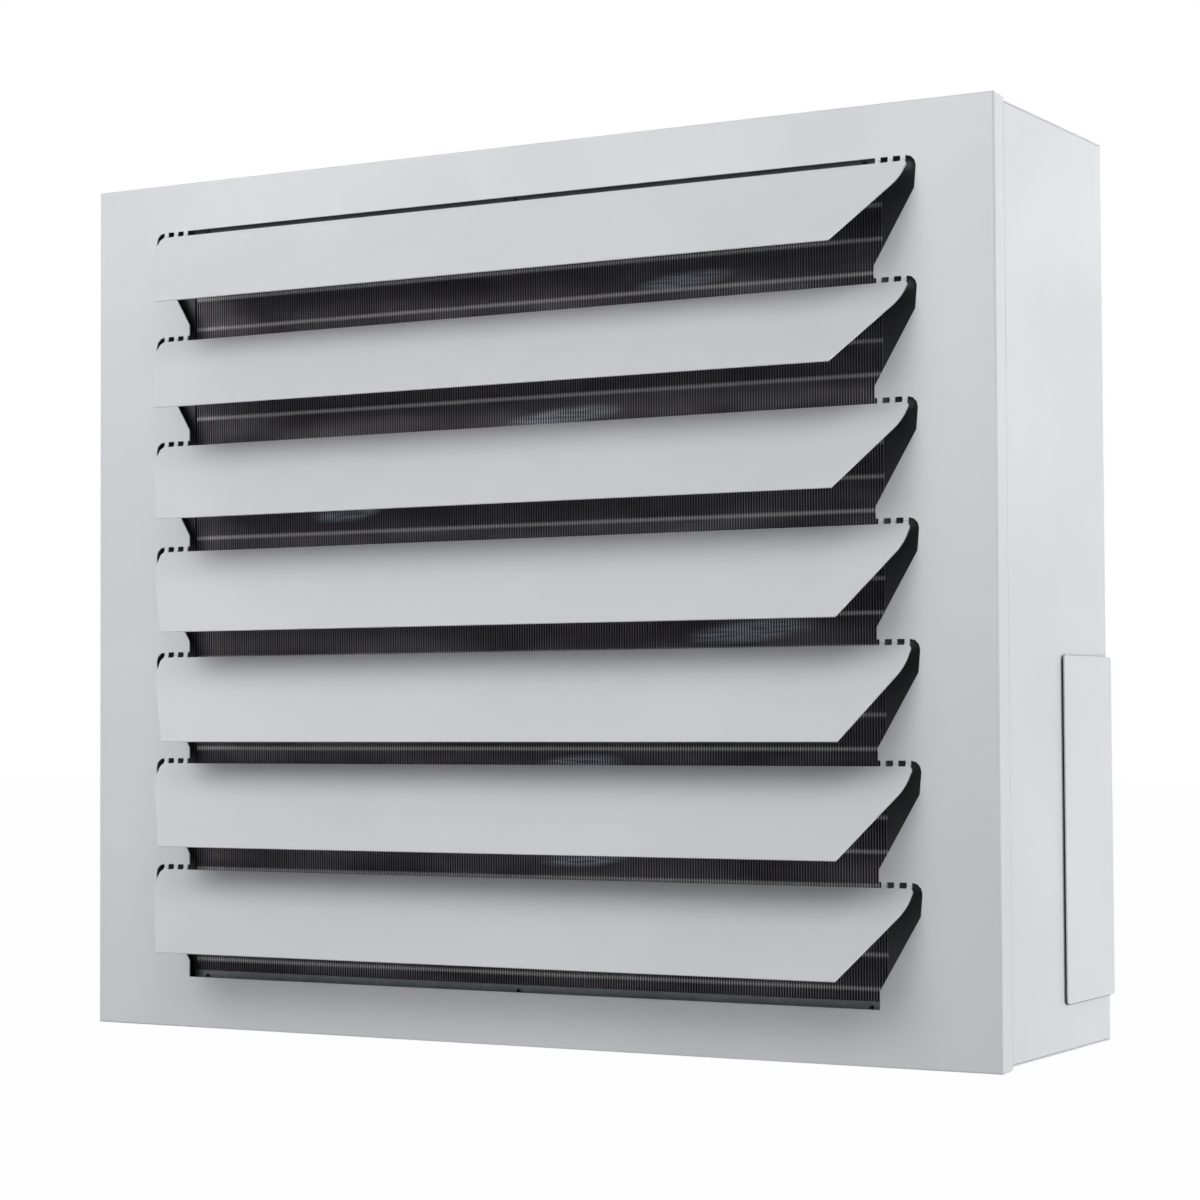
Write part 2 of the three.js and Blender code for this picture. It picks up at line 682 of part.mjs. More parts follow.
// upright headers at the left, fed by short stubs from the tubes, each with a threaded connection
function header(y, low, high, stubZ, tubeShift) {
  const x = -headerX;
  let solid = turnedUpright(
    [[0, low], [headerRadius, low], [headerRadius, high], [0, high]], x, y, 12);
  for (let level = 0; level < tubeLevels; level += 1) {
    const z = tubeHeight(level) + tubeShift;
    if (z - tubeRadius < low || z + tubeRadius > high) continue;
    const feeder = [[0, x], [tubeRadius, x], [tubeRadius, -plateX - coilSheet - gap],
      [0, -plateX - coilSheet - gap]];
    solid = solid.add(turnedAcross(feeder, y, z, 5));
  }
  const end = casingDepth + stubReach;
  const hexStart = end - stubHexBack;
  const hexEnd = hexStart + stubHexLength;
  const neck = stubRadius - stubNeck;
  const stub = [[0, y], [neck, y], [neck, end - stubThread], [stubRadius, end - stubThread],
    [stubRadius, end - stubChamfer], [stubRadius - stubChamfer, end], [0, end]];
  solid = solid.add(turnedToRear(stub, x, stubZ, 14));
  const hexRadius = stubRadius + stubHexRise;
  const nut = [[0, hexStart], [hexRadius, hexStart], [hexRadius, hexEnd], [0, hexEnd]];
  solid = solid.add(turnedToRear(nut, x, stubZ, 6));
  const bore = [[0, y], [stubBore, y], [stubBore, end + 1], [0, end + 1]];
  const inside = headerRadius - headerWall;
  const hollow = turnedUpright([[0, low + headerWall], [inside, low + headerWall],
    [inside, high - headerWall], [0, high - headerWall]], x, y, 12);
  return solid.subtract(hollow).subtract(turnedToRear(bore, x, stubZ, 12));
}
const supplyY = coilMiddle + headerSpacing / 2;
const returnY = coilMiddle - headerSpacing / 2;
const headerLong = coilHalfHeight - headerEndRoom;
const headerShort = coilHalfHeight - headerShortRoom;
place('supply_header', header(supplyY, -headerLong, headerShort, -stubHeight, tubePitch / 2), copper);
place('return_header', header(returnY, -headerShort, headerLong, stubHeight, 0), copper);

function hexPlug(y, low) {
  const high = low + plugLength;
  return turnedUpright([[0, low], [plugRadius, low], [plugRadius, high], [0, high]], -headerX, y, 6);
}
place('drain_plug', hexPlug(supplyY, -headerLong - gap - plugLength), brass);
place('air_vent', hexPlug(returnY, headerLong + gap), brass);

for (const [name, z] of stubPlaces) {
  const inner = stubRadius + gap;
  const lip = grommetGroove + grommetLip;
  const y0 = rearInner - grommetThick;
  const y1 = casingDepth + grommetThick;
  const profile = [
    [inner, y0], [lip, y0], [lip, rearInner - gap], [grommetGroove, rearInner - gap],
    [grommetGroove, casingDepth + gap], [lip, casingDepth + gap], [lip - 1, y1],
    [inner, y1], [inner, y0]];
  place(`pipe_grommet_${name}`, turnedToRear(profile, -headerX, z, 14), rubber);
}

// ---------------------------------------------------------------- fan
// Sickle blades of pressed sheet on a band round the outer rotor of the motor.
const bandOuter = rotorRadius + gap + hubWall;

function bladeStation(t) {
  const r = THREE.MathUtils.lerp(bandOuter - hubWall / 2, fanRadius, t);
  const span = THREE.MathUtils.degToRad(THREE.MathUtils.lerp(58, 49, Math.sin((t * Math.PI) / 2)));
  const sweep = THREE.MathUtils.degToRad(-26 * t * t + 8 * t);
  const height = bladeHeight * THREE.MathUtils.lerp(1, 0.72, t);
  const camber = bladeCamber * (1 - 0.4 * t);
  const chord = 4;
  const upper = [];
  const lower = [];
  for (let c = 0; c <= chord; c += 1) {
    const u = c / chord - 0.5;
    const angle = sweep + u * span;
    const y = bladeFront + bladeHeight / 2 + u * height - camber * (1 - 4 * u * u);
    const at = (offset) => new THREE.Vector3(r * Math.cos(angle), y + offset, r * Math.sin(angle));
    upper.push(at(bladeSheet / 2));
    lower.push(at(-bladeSheet / 2));
  }
  return [...upper, ...lower.reverse()];
}

function impeller() {
  const bandFront = bladeFront - hubOverhang;
  const bandRear = bladeFront + bladeHeight + hubOverhang;
  const band = [[rotorRadius + gap, bandFront], [bandOuter, bandFront], [bandOuter, bandRear],
    [rotorRadius + gap, bandRear], [rotorRadius + gap, bandFront]];
  let solid = turnedToRear(band, 0, 0, 20);
  const rings = [];
  const stations = 4;
  for (let s = 0; s <= stations; s += 1) rings.push(bladeStation(s / stations));
  const blade = loft(rings);
  for (let i = 0; i < bladeCount; i += 1) {
    solid = solid.add(blade.rotate([0, bladeTurn + (360 / bladeCount) * i, 0]));
  }
  return solid;
}
place('fan_impeller', impeller(), blackCasting);

const rotorFront = bladeFront - rotorNose;
const rotorRear = rotorFront + rotorLength;
const bossFront = rotorFront - rotorBoss / 3;
const rotorProfile = [
  [0, bossFront], [rotorBoss, bossFront], [rotorBoss, rotorFront], [rotorRadius - rotorEdge, rotorFront],
  [rotorRadius - rotorEdge / 4, rotorFront + rotorEdge / 4], [rotorRadius, rotorFront + rotorEdge],
  [rotorRadius, rotorRear], [0, rotorRear]];
place('motor_rotor', turnedToRear(rotorProfile, 0, 0, 20), blackCasting);

const basketBack = casingDepth + basketDepth;
const statorFront = rotorRear + rotorGap;
const statorRear = basketBack - basketWire - gap;

function stator() {
  const waist = statorRadius - statorWaist;
  const finStart = statorFront + statorLength / 2;
  const plateFront = statorRear - basketPlateSheet;
  const profile = [
    [0, statorFront], [statorRadius, statorFront], [statorRadius, finStart], [waist, finStart + statorWaist],
    [waist, plateFront], [statorRadius, plateFront], [statorRadius, statorRear], [0, statorRear]];
  let solid = turnedToRear(profile, 0, 0, 20);
  for (let i = 0; i < statorFins; i += 1) {
    const fin = block(
      waist - sheet, statorRadius - gap, finStart, plateFront + sheet, -statorFinSheet / 2, statorFinSheet / 2);
    solid = solid.add(fin.rotate([0, (360 / statorFins) * i, 0]));
  }
  return solid;
}
place('motor_stator', stator(), blackCasting);

// ---------------------------------------------------------------- wire basket that carries the motor
const footAngle = (i) => ((i + 0.5) / basketArms) * Math.PI * 2;
const footScrews = [0, 2, 3, 5];

const basketRadius = mouthRadius + basketLand;
const basketShoulderRadius = basketRadius - basketShoulder;

function ringWire(radius, y) {
  const h = basketWire / 2;
  const profile = [[radius - h, y - h], [radius + h, y - h], [radius + h, y + h], [radius - h, y + h],
    [radius - h, y - h]];
  return turnedToRear(profile, 0, 0, 24);
}

function basket() {
  const h = basketWire / 2;
  const backFront = basketBack - basketWire;
  const seat = casingDepth + gap / 2;
  const pad = seat + basketPlateSheet;
  const bendY = basketBack - basketBend;
  const plate = [
    [basketPlateBore, backFront], [basketPlate, backFront], [basketPlate, backFront + basketPlateSheet],
    [basketPlateBore, backFront + basketPlateSheet], [basketPlateBore, backFront]];
  let solid = turnedToRear(plate, 0, 0, 16);
  const lastRing = basketShoulderRadius - h;
  for (let r = basketPlate + basketFirstRing; r < lastRing; r += basketRingPitch) {
    solid = solid.add(ringWire(r, backFront + h * 0.4));
  }
  solid = solid.add(ringWire(basketRadius - h, casingDepth + basketBend));
  const armStart = basketPlate - basketWire * 2;
  const padEnd = basketRadius + basketPadWidth;
  const armPath = outline([
    [armStart, backFront], [basketShoulderRadius, backFront], [basketRadius - h, bendY - basketWire],
    [basketRadius - h, seat], [padEnd, seat], [padEnd, pad], [basketRadius + h, pad],
    [basketRadius + h, bendY - h], [basketShoulderRadius + basketWire, basketBack], [armStart, basketBack]]);
  const arm = extrude(armPath, basketWire);
  arm.translate(0, 0, -h);
  const armSolid = toSolid(arm);
  const screwX = basketRadius + footScrewReach;
  const padSolid = block(
    screwX - basketPadWidth / 2, screwX + basketPadWidth / 2, seat, pad, -basketPadWidth / 2, basketPadWidth / 2);
  const padHole = turnedToRear([[0, seat - sheet], [screwHole, seat - sheet], [screwHole, pad + sheet],
    [0, pad + sheet]], screwX, 0, 8);
  for (let i = 0; i < basketArms; i += 1) {
    let part = armSolid;
    if (footScrews.includes(i)) part = part.add(padSolid).subtract(padHole);
    solid = solid.add(part.rotate([0, -THREE.MathUtils.radToDeg(footAngle(i)), 0]));
  }
  return solid;
}
place('fan_basket', basket(), blackPaint);

// pan-head screws; the shank stays above the sheet it is driven into
function panScrew(x, z, seat) {
  const edge = seat + screwHeight * 0.4;
  const profile = [[0, seat], [screwHead, seat], [screwHead, edge],
    [screwHead * 0.7, seat + screwHeight * 0.9], [0, seat + screwHeight]];
  return turnedToRear(profile, x, z, 8);
}
footScrews.forEach((arm, i) => {
  const r = basketRadius + footScrewReach;
  const x = r * Math.cos(footAngle(arm));
  const z = r * Math.sin(footAngle(arm));
  place(`basket_screw_${i + 1}`, panScrew(x, z, casingDepth + basketPlateSheet + gap), zincScrew);
});

// ---------------------------------------------------------------- service cover on the right side
const sealFace = sideOuter + gap / 2;
const coverFace = sealFace + sealThick + gap / 2;

const sealShape = rectangle(coverFront + sealInset, casingDepth - gap, coverBottom + sealInset,
  coverTop - sealInset, coverCorner);
sealShape.holes.push(new THREE.Path(
  rectangle(windowFront, windowRear, windowBottom, windowTop).getPoints()));
place('service_cover_seal', sheetFacingSide(sealShape, sealFace, sealThick), rubber);

const coverShape = rectangle(coverFront, coverRear, coverBottom, coverTop, coverCorner);
const coverSheet = sheetFacingSide(coverShape, coverFace, sheet);
const coverLip = block(
  sideOuter - casingLip, coverFace + sheet / 2, coverRear - sheet, coverRear,
  coverBottom + coverCorner, coverTop - coverCorner);
place('service_cover', coverSheet.add(coverLip), whitePaint);

[coverTop - coverScrewInset, coverBottom + coverScrewInset].forEach((z, i) => {
  place(`cover_screw_${i + 1}`, panScrew(sideOuter - casingLip / 2 - 1, z, coverRear + gap / 2), zincScrew);
});

// ---------------------------------------------------------------- electrical compartment behind the cover
const bracketX = sideInner - bracketRoom;
const bracketTop = coverTop - bracketHead;
const bracketBottom = coverBottom + bracketSill;
const bracketFront = coverFront + bracketSetback;
const bracketRear = rearInner - gap;
const bracketWeb = block(
  bracketX, bracketX + bracketSheet, bracketFront, bracketRear, bracketBottom, bracketTop);
const bracketFoot = block(
  bracketX - bracketFlange, bracketX, bracketRear - bracketSheet, bracketRear, bracketBottom, bracketTop);
place('terminal_bracket', bracketWeb.add(bracketFoot), galvanised);

// a terminal strip with its screw wells open to the cover
const stripBottom = bracketBottom + stripSetback;
const stripTop = stripBottom + terminalPoles * polePitch;
const stripFront = bracketFront + stripSetback;
const stripRear = stripFront + stripDepth;
const stripMiddle = (stripFront + stripRear) / 2;
function terminalStrip() {
  const x0 = bracketX + bracketSheet + gap;
  const x1 = x0 + stripRise;
  let solid = block(x0, x1, stripFront, stripRear, stripBottom, stripTop);
  for (let i = 0; i < terminalPoles; i += 1) {
    const z = stripBottom + (i + 0.5) * polePitch;
    for (const y of [stripFront + wellInset, stripRear - wellInset]) {
      solid = solid.subtract(block(
        x1 - wellDepth, x1 + gap, y - wellSize / 2, y + wellSize / 2, z - wellSize / 2, z + wellSize / 2));
    }
    solid = solid.subtract(block(
      x1 - wellDepth + ribSlot, x1 + gap, stripMiddle - ribSlot / 2, stripMiddle + ribSlot / 2,
      z - polePitch / 3, z + polePitch / 3));
  }
  return solid;
}
place('terminal_strip', terminalStrip(), paleNylon);

const canX = bracketX + bracketSheet + canClearance + canRadius;
const canLow = stripTop + canGap;
const canHigh = bracketTop - canGap;
const canEdge = canRadius / 10;
place('run_capacitor', turnedUpright(
  [[0, canLow], [canRadius - canEdge, canLow], [canRadius, canLow + canEdge],
    [canRadius, canHigh - canEdge], [canRadius - canEdge, canHigh], [0, canHigh]],
  canX, stripMiddle, 14), paleNylon);
const bandInner = canRadius + gap;
const bandOuterRadius = bandInner + clipBandSheet;
const bandLow = canLow + clipBandHeight;
const bandHigh = bandLow + clipBandWidth;
const clipBand = [[bandInner, bandLow], [bandOuterRadius, bandLow], [bandOuterRadius, bandHigh],
  [bandInner, bandHigh], [bandInner, bandLow]];
const clipSlot = block(
  canX - canRadius / 3, canX + canRadius / 3, stripMiddle, stripMiddle + 2 * canRadius,
  bandLow - gap, bandHigh + gap);
place('capacitor_clip', turnedUpright(clipBand, canX, stripMiddle, 14).subtract(clipSlot), zincScrew);

// cable glands through the rear sheet, with their lock nuts inside
glandPlaces.forEach(([x, z], i) => {
  const tail = rearInner - glandTail;
  const seat = casingDepth + gap / 2;
  const end = seat + glandBodyLength;
  const profile = [
    [glandBore, tail], [glandThread, tail], [glandThread, seat], [glandBody, seat],
    [glandBody, seat + glandBodyLength / 3], [glandBody - 1, seat + (glandBodyLength * 2) / 3],
    [glandBody - 3, end], [glandBore, end], [glandBore, tail]];
  place(`cable_gland_${i + 1}`, turnedToRear(profile, x, z, 10), greyPlastic);
  const nutRear = rearInner - gap;
  const nutFront = nutRear - glandNutLength;
  const nut = turnedToRear(
    [[0, nutFront], [glandNutRadius, nutFront], [glandNutRadius, nutRear], [0, nutRear]], x, z, 6);
  const nutBore = turnedToRear(
    [[0, nutFront - gap], [glandThread + gap, nutFront - gap], [glandThread + gap, rearInner], [0, rearInner]],
    x, z, 10);
  place(`gland_nut_${i + 1}`, nut.subtract(nutBore), greyPlastic);
});

// ---------------------------------------------------------------- the finished unit
unit.position.set(0, -hangerSetback, -topOuter);
const part = new THREE.Group();
part.add(unit);
part.updateMatrixWorld(true);

export default part;
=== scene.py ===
import math

import bmesh
import bpy
from mathutils import Matrix, Quaternion, Vector


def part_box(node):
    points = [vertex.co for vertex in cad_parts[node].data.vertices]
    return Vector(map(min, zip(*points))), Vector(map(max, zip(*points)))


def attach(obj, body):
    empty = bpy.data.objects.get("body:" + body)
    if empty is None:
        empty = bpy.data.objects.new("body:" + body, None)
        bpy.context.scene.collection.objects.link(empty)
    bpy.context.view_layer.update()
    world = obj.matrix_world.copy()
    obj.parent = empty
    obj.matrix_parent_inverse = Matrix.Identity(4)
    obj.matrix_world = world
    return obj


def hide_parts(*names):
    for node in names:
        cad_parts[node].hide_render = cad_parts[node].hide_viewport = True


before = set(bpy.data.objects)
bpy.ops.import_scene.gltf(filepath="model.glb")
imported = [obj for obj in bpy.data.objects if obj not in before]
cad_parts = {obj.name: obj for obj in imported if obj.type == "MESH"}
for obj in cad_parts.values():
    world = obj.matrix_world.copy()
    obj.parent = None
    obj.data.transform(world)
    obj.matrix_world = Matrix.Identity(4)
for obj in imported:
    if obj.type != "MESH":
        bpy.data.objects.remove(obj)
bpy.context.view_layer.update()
mm = 0.001

# ---------------------------------------------------------------- casing sheets
# Top, bottom, two sides and the rear are 1 mm steel, folded with inward lips and joined by
# blind rivets. The sheets are powder coated white before assembly, so their cut edges are
# slightly rounded by the film and the face has a faint orange peel.
sheet_edge = 0.22 * mm


def tint(red, green, blue):
    """A colour as a swatch card shows it, 0 to 255."""
    return tuple(((c / 255 + 0.055) / 1.055) ** 2.4 for c in (red, green, blue)) + (1.0,)


def feed(tree, node, **given):
    """Feeds a node's sockets with links or plain values; I0 stands for its first socket."""
    for key, value in given.items():
        place = int(key[1:]) if key[0] == "I" and key[1:].isdigit() else key.replace("_", " ")
        if isinstance(value, bpy.types.Node):
            value = value.outputs[0]
        if isinstance(value, bpy.types.NodeSocket):
            tree.links.new(value, node.inputs[place])
        else:
            node.inputs[place].default_value = value
    return node


def put(tree, kind, **given):
    """Adds a shader node: names in small letters are its settings, the others feed its sockets."""
    made = tree.nodes.new("ShaderNode" + kind)
    for key, value in given.items():
        if key[0].islower():
            setattr(made, key, value)
    return feed(tree, made, **{key: value for key, value in given.items() if not key[0].islower()})


def effect(name, inputs, outputs):
    """An empty shader group with number inputs and outputs, for an effect that several finishes share."""
    tree = bpy.data.node_groups.new(name, "ShaderNodeTree")
    for label, start in inputs.items():
        made = tree.interface.new_socket(label, in_out="INPUT", socket_type="NodeSocketFloat")
        made.default_value = start
    for label in outputs:
        tree.interface.new_socket(label, in_out="OUTPUT", socket_type="NodeSocketFloat")
    return tree, tree.nodes.new("NodeGroupInput"), tree.nodes.new("NodeGroupOutput")


def object_spot(tree):
    """The place on the piece, which every pattern reads."""
    return put(tree, "TexCoord").outputs["Object"]


def part_of(tree, vector, axis):
    """The X, Y or Z of a vector."""
    return put(tree, "SeparateXYZ", Vector=vector).outputs[axis]


def turned_to(tree, axis):
    """How far the surface faces along an axis, from -1 to 1."""
    return part_of(tree, put(tree, "NewGeometry").outputs["Normal"], axis)


def noise(tree, spot, scale, detail):
    """Cloudy values around a half."""
    return put(tree, "TexNoise", Vector=spot, Scale=scale, Detail=detail).outputs[0]


def spread(tree, value, low, high, floor=0.0, top=1.0):
    """Carries a value from low..high to floor..top, held at both ends."""
    made = put(tree, "MapRange", Value=value, From_Min=low, From_Max=high, To_Min=floor, To_Max=top)
    return made.outputs[0]


def sums(tree, how, first, second=0.0):
    """One step of arithmetic on masks or values."""
    return put(tree, "Math", operation=how, I0=first, I1=second).outputs[0]


def product(tree, first, second):
    """One mask or value times another."""
    return sums(tree, "MULTIPLY", first, second)


# orange peel of a sprayed film, slow mottle of its thickness, and fine specks
peel, peel_in, peel_out = effect(
    "sprayed film", {"Peel size": 420.0, "Mottle size": 7.0}, ("Peel", "Mottle", "Specks"))
peel_spot = object_spot(peel)
bumps = noise(peel, peel_spot, peel_in.outputs["Peel size"], 1.5)
mottle = spread(peel, noise(peel, peel_spot, peel_in.outputs["Mottle size"], 3.0), 0.35, 0.65)
specks = spread(peel, noise(peel, peel_spot, 1300.0, 2.0), 0.68, 0.78)
feed(peel, peel_out, Peel=bumps, Mottle=mottle, Specks=specks)

# dust that has settled on whatever faces up, in soft uneven drifts
dust, dust_in, dust_out = effect("settled dust", {"Amount": 0.5}, ("Dust",))
dust_up = spread(dust, turned_to(dust, "Z"), 0.55, 1.0)
dust_drift = spread(dust, noise(dust, object_spot(dust), 28.0, 5.0), 0.3, 0.75)
feed(dust, dust_out, Dust=product(dust, product(dust, dust_up, dust_drift), dust_in.outputs["Amount"]))


def blank(name):
    """A new finish with its principled shader: (finish, its tree, the shader)."""
    made = bpy.data.materials.new(name)
    made.use_nodes = True
    return made, made.node_tree, made.node_tree.nodes["Principled BSDF"]


def mixed(tree, share, first, second):
    """Blends two colours by a mask."""
    return put(tree, "Mix", data_type="RGBA", Factor=share, I6=first, I7=second).outputs[2]


def bumped(tree, shader, height, strength, distance):
    """Gives a finish relief, from a mask of its height."""
    feed(tree, shader, Normal=put(tree, "Bump", Height=height, Strength=strength, Distance=distance))


def shared(tree, group, **values):
    """Places a shared effect in a finish, with this finish's own values."""
    made = tree.nodes.new("ShaderNodeGroup")
    made.node_tree = group
    return feed(tree, made, **values)


def powder(name, light, shade, dull, dusty):
    """Sprayed polyester powder, baked: satin, with a fine peel and a faint mottle."""
    made, tree, shader = blank(name)
    film = shared(tree, peel, Peel_size=520.0, Mottle_size=6.0)
    dusted = shared(tree, dust, Amount=dusty).outputs["Dust"]
    tone = mixed(tree, film.outputs["Mottle"], light, shade)
    tone = mixed(tree, product(tree, film.outputs["Specks"], 0.1), tone, tint(150, 148, 144))
    tone = mixed(tree, dusted, tone, tint(158, 154, 147))
    satin = spread(tree, film.outputs["Mottle"], 0.0, 1.0, dull - 0.04, dull + 0.05)
    satin = sums(tree, "ADD", satin, product(tree, dusted, 0.3))
    feed(tree, shader, Base_Color=tone, Roughness=satin)
    bumped(tree, shader, film.outputs["Peel"], 0.10, 0.15 * mm)
    return made


white = powder("white powder coat", tint(219, 219, 221), tint(213, 214, 217), 0.42, 0.2)


def as_piece(bm, name, finish, body, stands_for=(), ease=0.0, crease=38):
    """Makes a bmesh a piece of the object. With ease, its edges are rounded that much."""
    for face in bm.faces:
        face.smooth = True
    for edge in bm.edges:
        corner = len(edge.link_faces) == 2 and edge.calc_face_angle() > math.radians(crease)
        edge.smooth = bool(ease) or not corner
    mesh = bpy.data.meshes.new(name)
    bm.to_mesh(mesh)
    bm.free()
    mesh.materials.append(finish)
    piece = bpy.data.objects.new(name, mesh)
    bpy.context.scene.collection.objects.link(piece)
    if ease:
        rounding = piece.modifiers.new("rounded edges", "BEVEL")
        rounding.width = ease
        rounding.segments = 2
        rounding.limit_method = "ANGLE"
        rounding.angle_limit = math.radians(crease)
        rounding.use_clamp_overlap = False
        flats = piece.modifiers.new("flats shaded flat", "WEIGHTED_NORMAL")
        flats.weight = 100
        flats.keep_sharp = True
    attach(piece, body)
    if stands_for:
        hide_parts(*stands_for)
    return piece


def copy_of(node):
    """The solid's own mesh, welded, with its flat faces made whole."""
    bm = bmesh.new()
    bm.from_mesh(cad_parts[node].data)
    bmesh.ops.remove_doubles(bm, verts=bm.verts, dist=2e-6)
    bmesh.ops.dissolve_limit(
        bm, angle_limit=math.radians(0.4), verts=bm.verts, edges=bm.edges, use_dissolve_boundaries=False)
    return bm


for node, name in (
    ("top_panel", "top_sheet"), ("bottom_panel", "bottom_sheet"),
    ("side_panel_left", "left_side_sheet"), ("side_panel_right", "right_side_sheet"),
):
    as_piece(copy_of(node), name, white, "casing", (node,), ease=sheet_edge)

# ---------------------------------------------------------------- rear sheet with its inlet ring
# The rear sheet is pressed inwards to a round, rolled inlet in which the blades run. It is
# spun and pressed in one piece from 1 mm steel, and coated with the casing.
facing_rear = Matrix.Rotation(-math.pi / 2, 4, "X")
fan_level = -279.5
fan_spot = (0, 0, fan_level)
rear_face = 86.0
# the inlet's radius is throat at its inner end, throat_foot deep, and curls out to mouth
throat = 202.0
throat_foot = 36.0
curl = 20.0
curl_steps = 8
mouth = throat + curl
# the ring's sheet, which ends in a flat rim that lies a hair proud of the rear sheet
ring_sheet = 1.0
ring_face = rear_face + 0.12
ring_back = rear_face - 1.1
rim = mouth + 2.0
rim_face = rear_face + 0.02


def joined(bm, other):
    """Puts another bmesh into bm and frees it."""
    mesh = bpy.data.meshes.new("work")
    other.to_mesh(mesh)
    other.free()
    bm.from_mesh(mesh)
    bpy.data.meshes.remove(mesh)


def turned(bm, outline, spot, facing, steps):
    """Turns an outline of (radius, height) pairs round an axis through spot."""
    work = bmesh.new()
    points = [work.verts.new((radius * mm, 0.0, height * mm)) for radius, height in outline]
    lines = [work.edges.new(pair) for pair in zip(points, points[1:])]
    bmesh.ops.spin(work, geom=points + lines, cent=(0, 0, 0), axis=(0, 0, 1), angle=2 * math.pi,
                   steps=steps, use_merge=True)
    bmesh.ops.remove_doubles(work, verts=work.verts, dist=1e-6)
    bmesh.ops.recalc_face_normals(work, faces=work.faces)
    place = Matrix.Translation(Vector(spot) * mm) @ facing
    bmesh.ops.transform(work, matrix=place, verts=work.verts)
    joined(bm, work)


rear = copy_of("rear_panel")
ring_verts = [v for v in rear.verts if v.co.y < ring_back * mm
              and math.hypot(v.co.x, v.co.z - fan_level * mm) < rim * mm]
bmesh.ops.delete(rear, geom=ring_verts, context="VERTS")
bmesh.ops.bridge_loops(rear, edges=[e for e in rear.edges if e.is_boundary])
half_sheet = ring_sheet / 2
inner, outer = [], []
for turn in range(curl_steps + 1):
    angle = math.pi / 2 * turn / curl_steps
    drop, reach = 1 - math.cos(angle), math.sin(angle)
    inner.append((mouth - curl * reach, ring_face - curl * drop))
    outer.append((mouth + half_sheet - (curl - half_sheet) * reach, ring_back - (curl - ring_sheet) * drop))
ring_outline = ([(rim, rim_face)] + inner + [(throat, throat_foot), (throat + ring_sheet, throat_foot)]
                + outer[::-1] + [(rim, ring_back), (rim, rim_face)])
turned(rear, ring_outline, fan_spot, facing_rear, 108)
as_piece(rear, "rear_sheet", white, "casing", ("rear_panel",), crease=28)

# ---------------------------------------------------------------- blind rivets
# Zinc-plated pop rivets, 3.2 mm, hold the rear sheet and the top and bottom sheets on the
# lips of the sides; each keeps the small dimple of its mandrel.
facing_up = Matrix.Identity(4)
facing_down = Matrix.Rotation(math.pi, 4, "X")
lip_middle = 319.5
bottom_face = -559.0
top_seam, bottom_seam = -7.5, -551.5
rivet_sides = 14
rivet_outline = [(0, 0.35), (0.8, 0.35), (0.9, 0.9), (1.5, 1.1), (2.4, 0.8), (3.1, 0.15), (3.1, 0.0),
                 (0, 0.0)]


def stretched(tree, spot, scale, detail):
    """Noise whose scale along x, y and z differs, so that it runs in streaks."""
    return noise(tree, put(tree, "Mapping", Vector=spot, Scale=scale), 1.0, detail)


def brushed(name, light, shade, dull):
    """Bare metal with fine, slightly worn drawing marks."""
    made, tree, shader = blank(name)
    spot = object_spot(tree)
    marks = stretched(tree, spot, (900.0, 900.0, 60.0), 3.0)
    cloud = spread(tree, noise(tree, spot, 90.0, 4.0), 0.3, 0.7)
    tone = mixed(tree, cloud, light, shade)
    tone = mixed(tree, product(tree, spread(tree, marks, 0.35, 0.65), 0.35), tone, shade)
    rubbed = spread(tree, sums(tree, "ADD", marks, cloud), 0.3, 1.5, dull - 0.08, dull + 0.12)
    feed(tree, shader, Base_Color=tone, Metallic=1.0, Roughness=rubbed)
    bumped(tree, shader, marks, 0.12, 0.05 * mm)
    return made


zinc = brushed("zinc plate", tint(198, 200, 203), tint(168, 171, 176), 0.34)
rivets = bmesh.new()
rear_spots = [(-lip_middle, z) for z in (-40, -160, -280, -400, -520)]
rear_spots += [(lip_middle, z) for z in (-40, -165, -290)]
rear_spots += [(x, top_seam) for x in (-230, -80, 80, 230)]
rear_spots += [(x, bottom_seam) for x in (-190, 0, 190)]
for x, z in rear_spots:
    turned(rivets, rivet_outline, (x, rear_face, z), facing_rear, rivet_sides)
for x in (-lip_middle, lip_middle):
    for y in (-60, 0, 60):
        turned(rivets, rivet_outline, (x, y, 0.0), facing_up, rivet_sides)
        turned(rivets, rivet_outline, (x, y, bottom_face), facing_down, rivet_sides)
as_piece(rivets, "blind_rivets", zinc, "casing")

# ---------------------------------------------------------------- hanger inserts
# Four M8 threaded inserts of zinc-plated steel are squeezed into the top sheet. Their
# flanges stand just proud of it, and the unit hangs on rods screwed into them.
thread_pitch = 1.25
thread = [(4.2, 1.2)]
for turn in range(13):
    thread += [(3.7, 0.6 - thread_pitch * turn), (4.2, -thread_pitch * turn)]
insert_outline = thread + [(4.2, -16.8), (5.3, -16.8), (5.5, -16.4), (5.5, 0.05), (7.8, 0.05), (8.0, 0.3),
                           (8.0, 1.0), (7.7, 1.2), (4.8, 1.2), (4.2, 1.2)]
for number, (x, y) in enumerate(((-240, -55), (-240, 55), (240, -55), (240, 55)), 1):
    insert = bmesh.new()
    turned(insert, insert_outline, (x, y, 0.0), facing_up, 40)
    as_piece(insert, f"threaded_insert_{number}", zinc, "casing", (f"hanger_insert_{number}",))

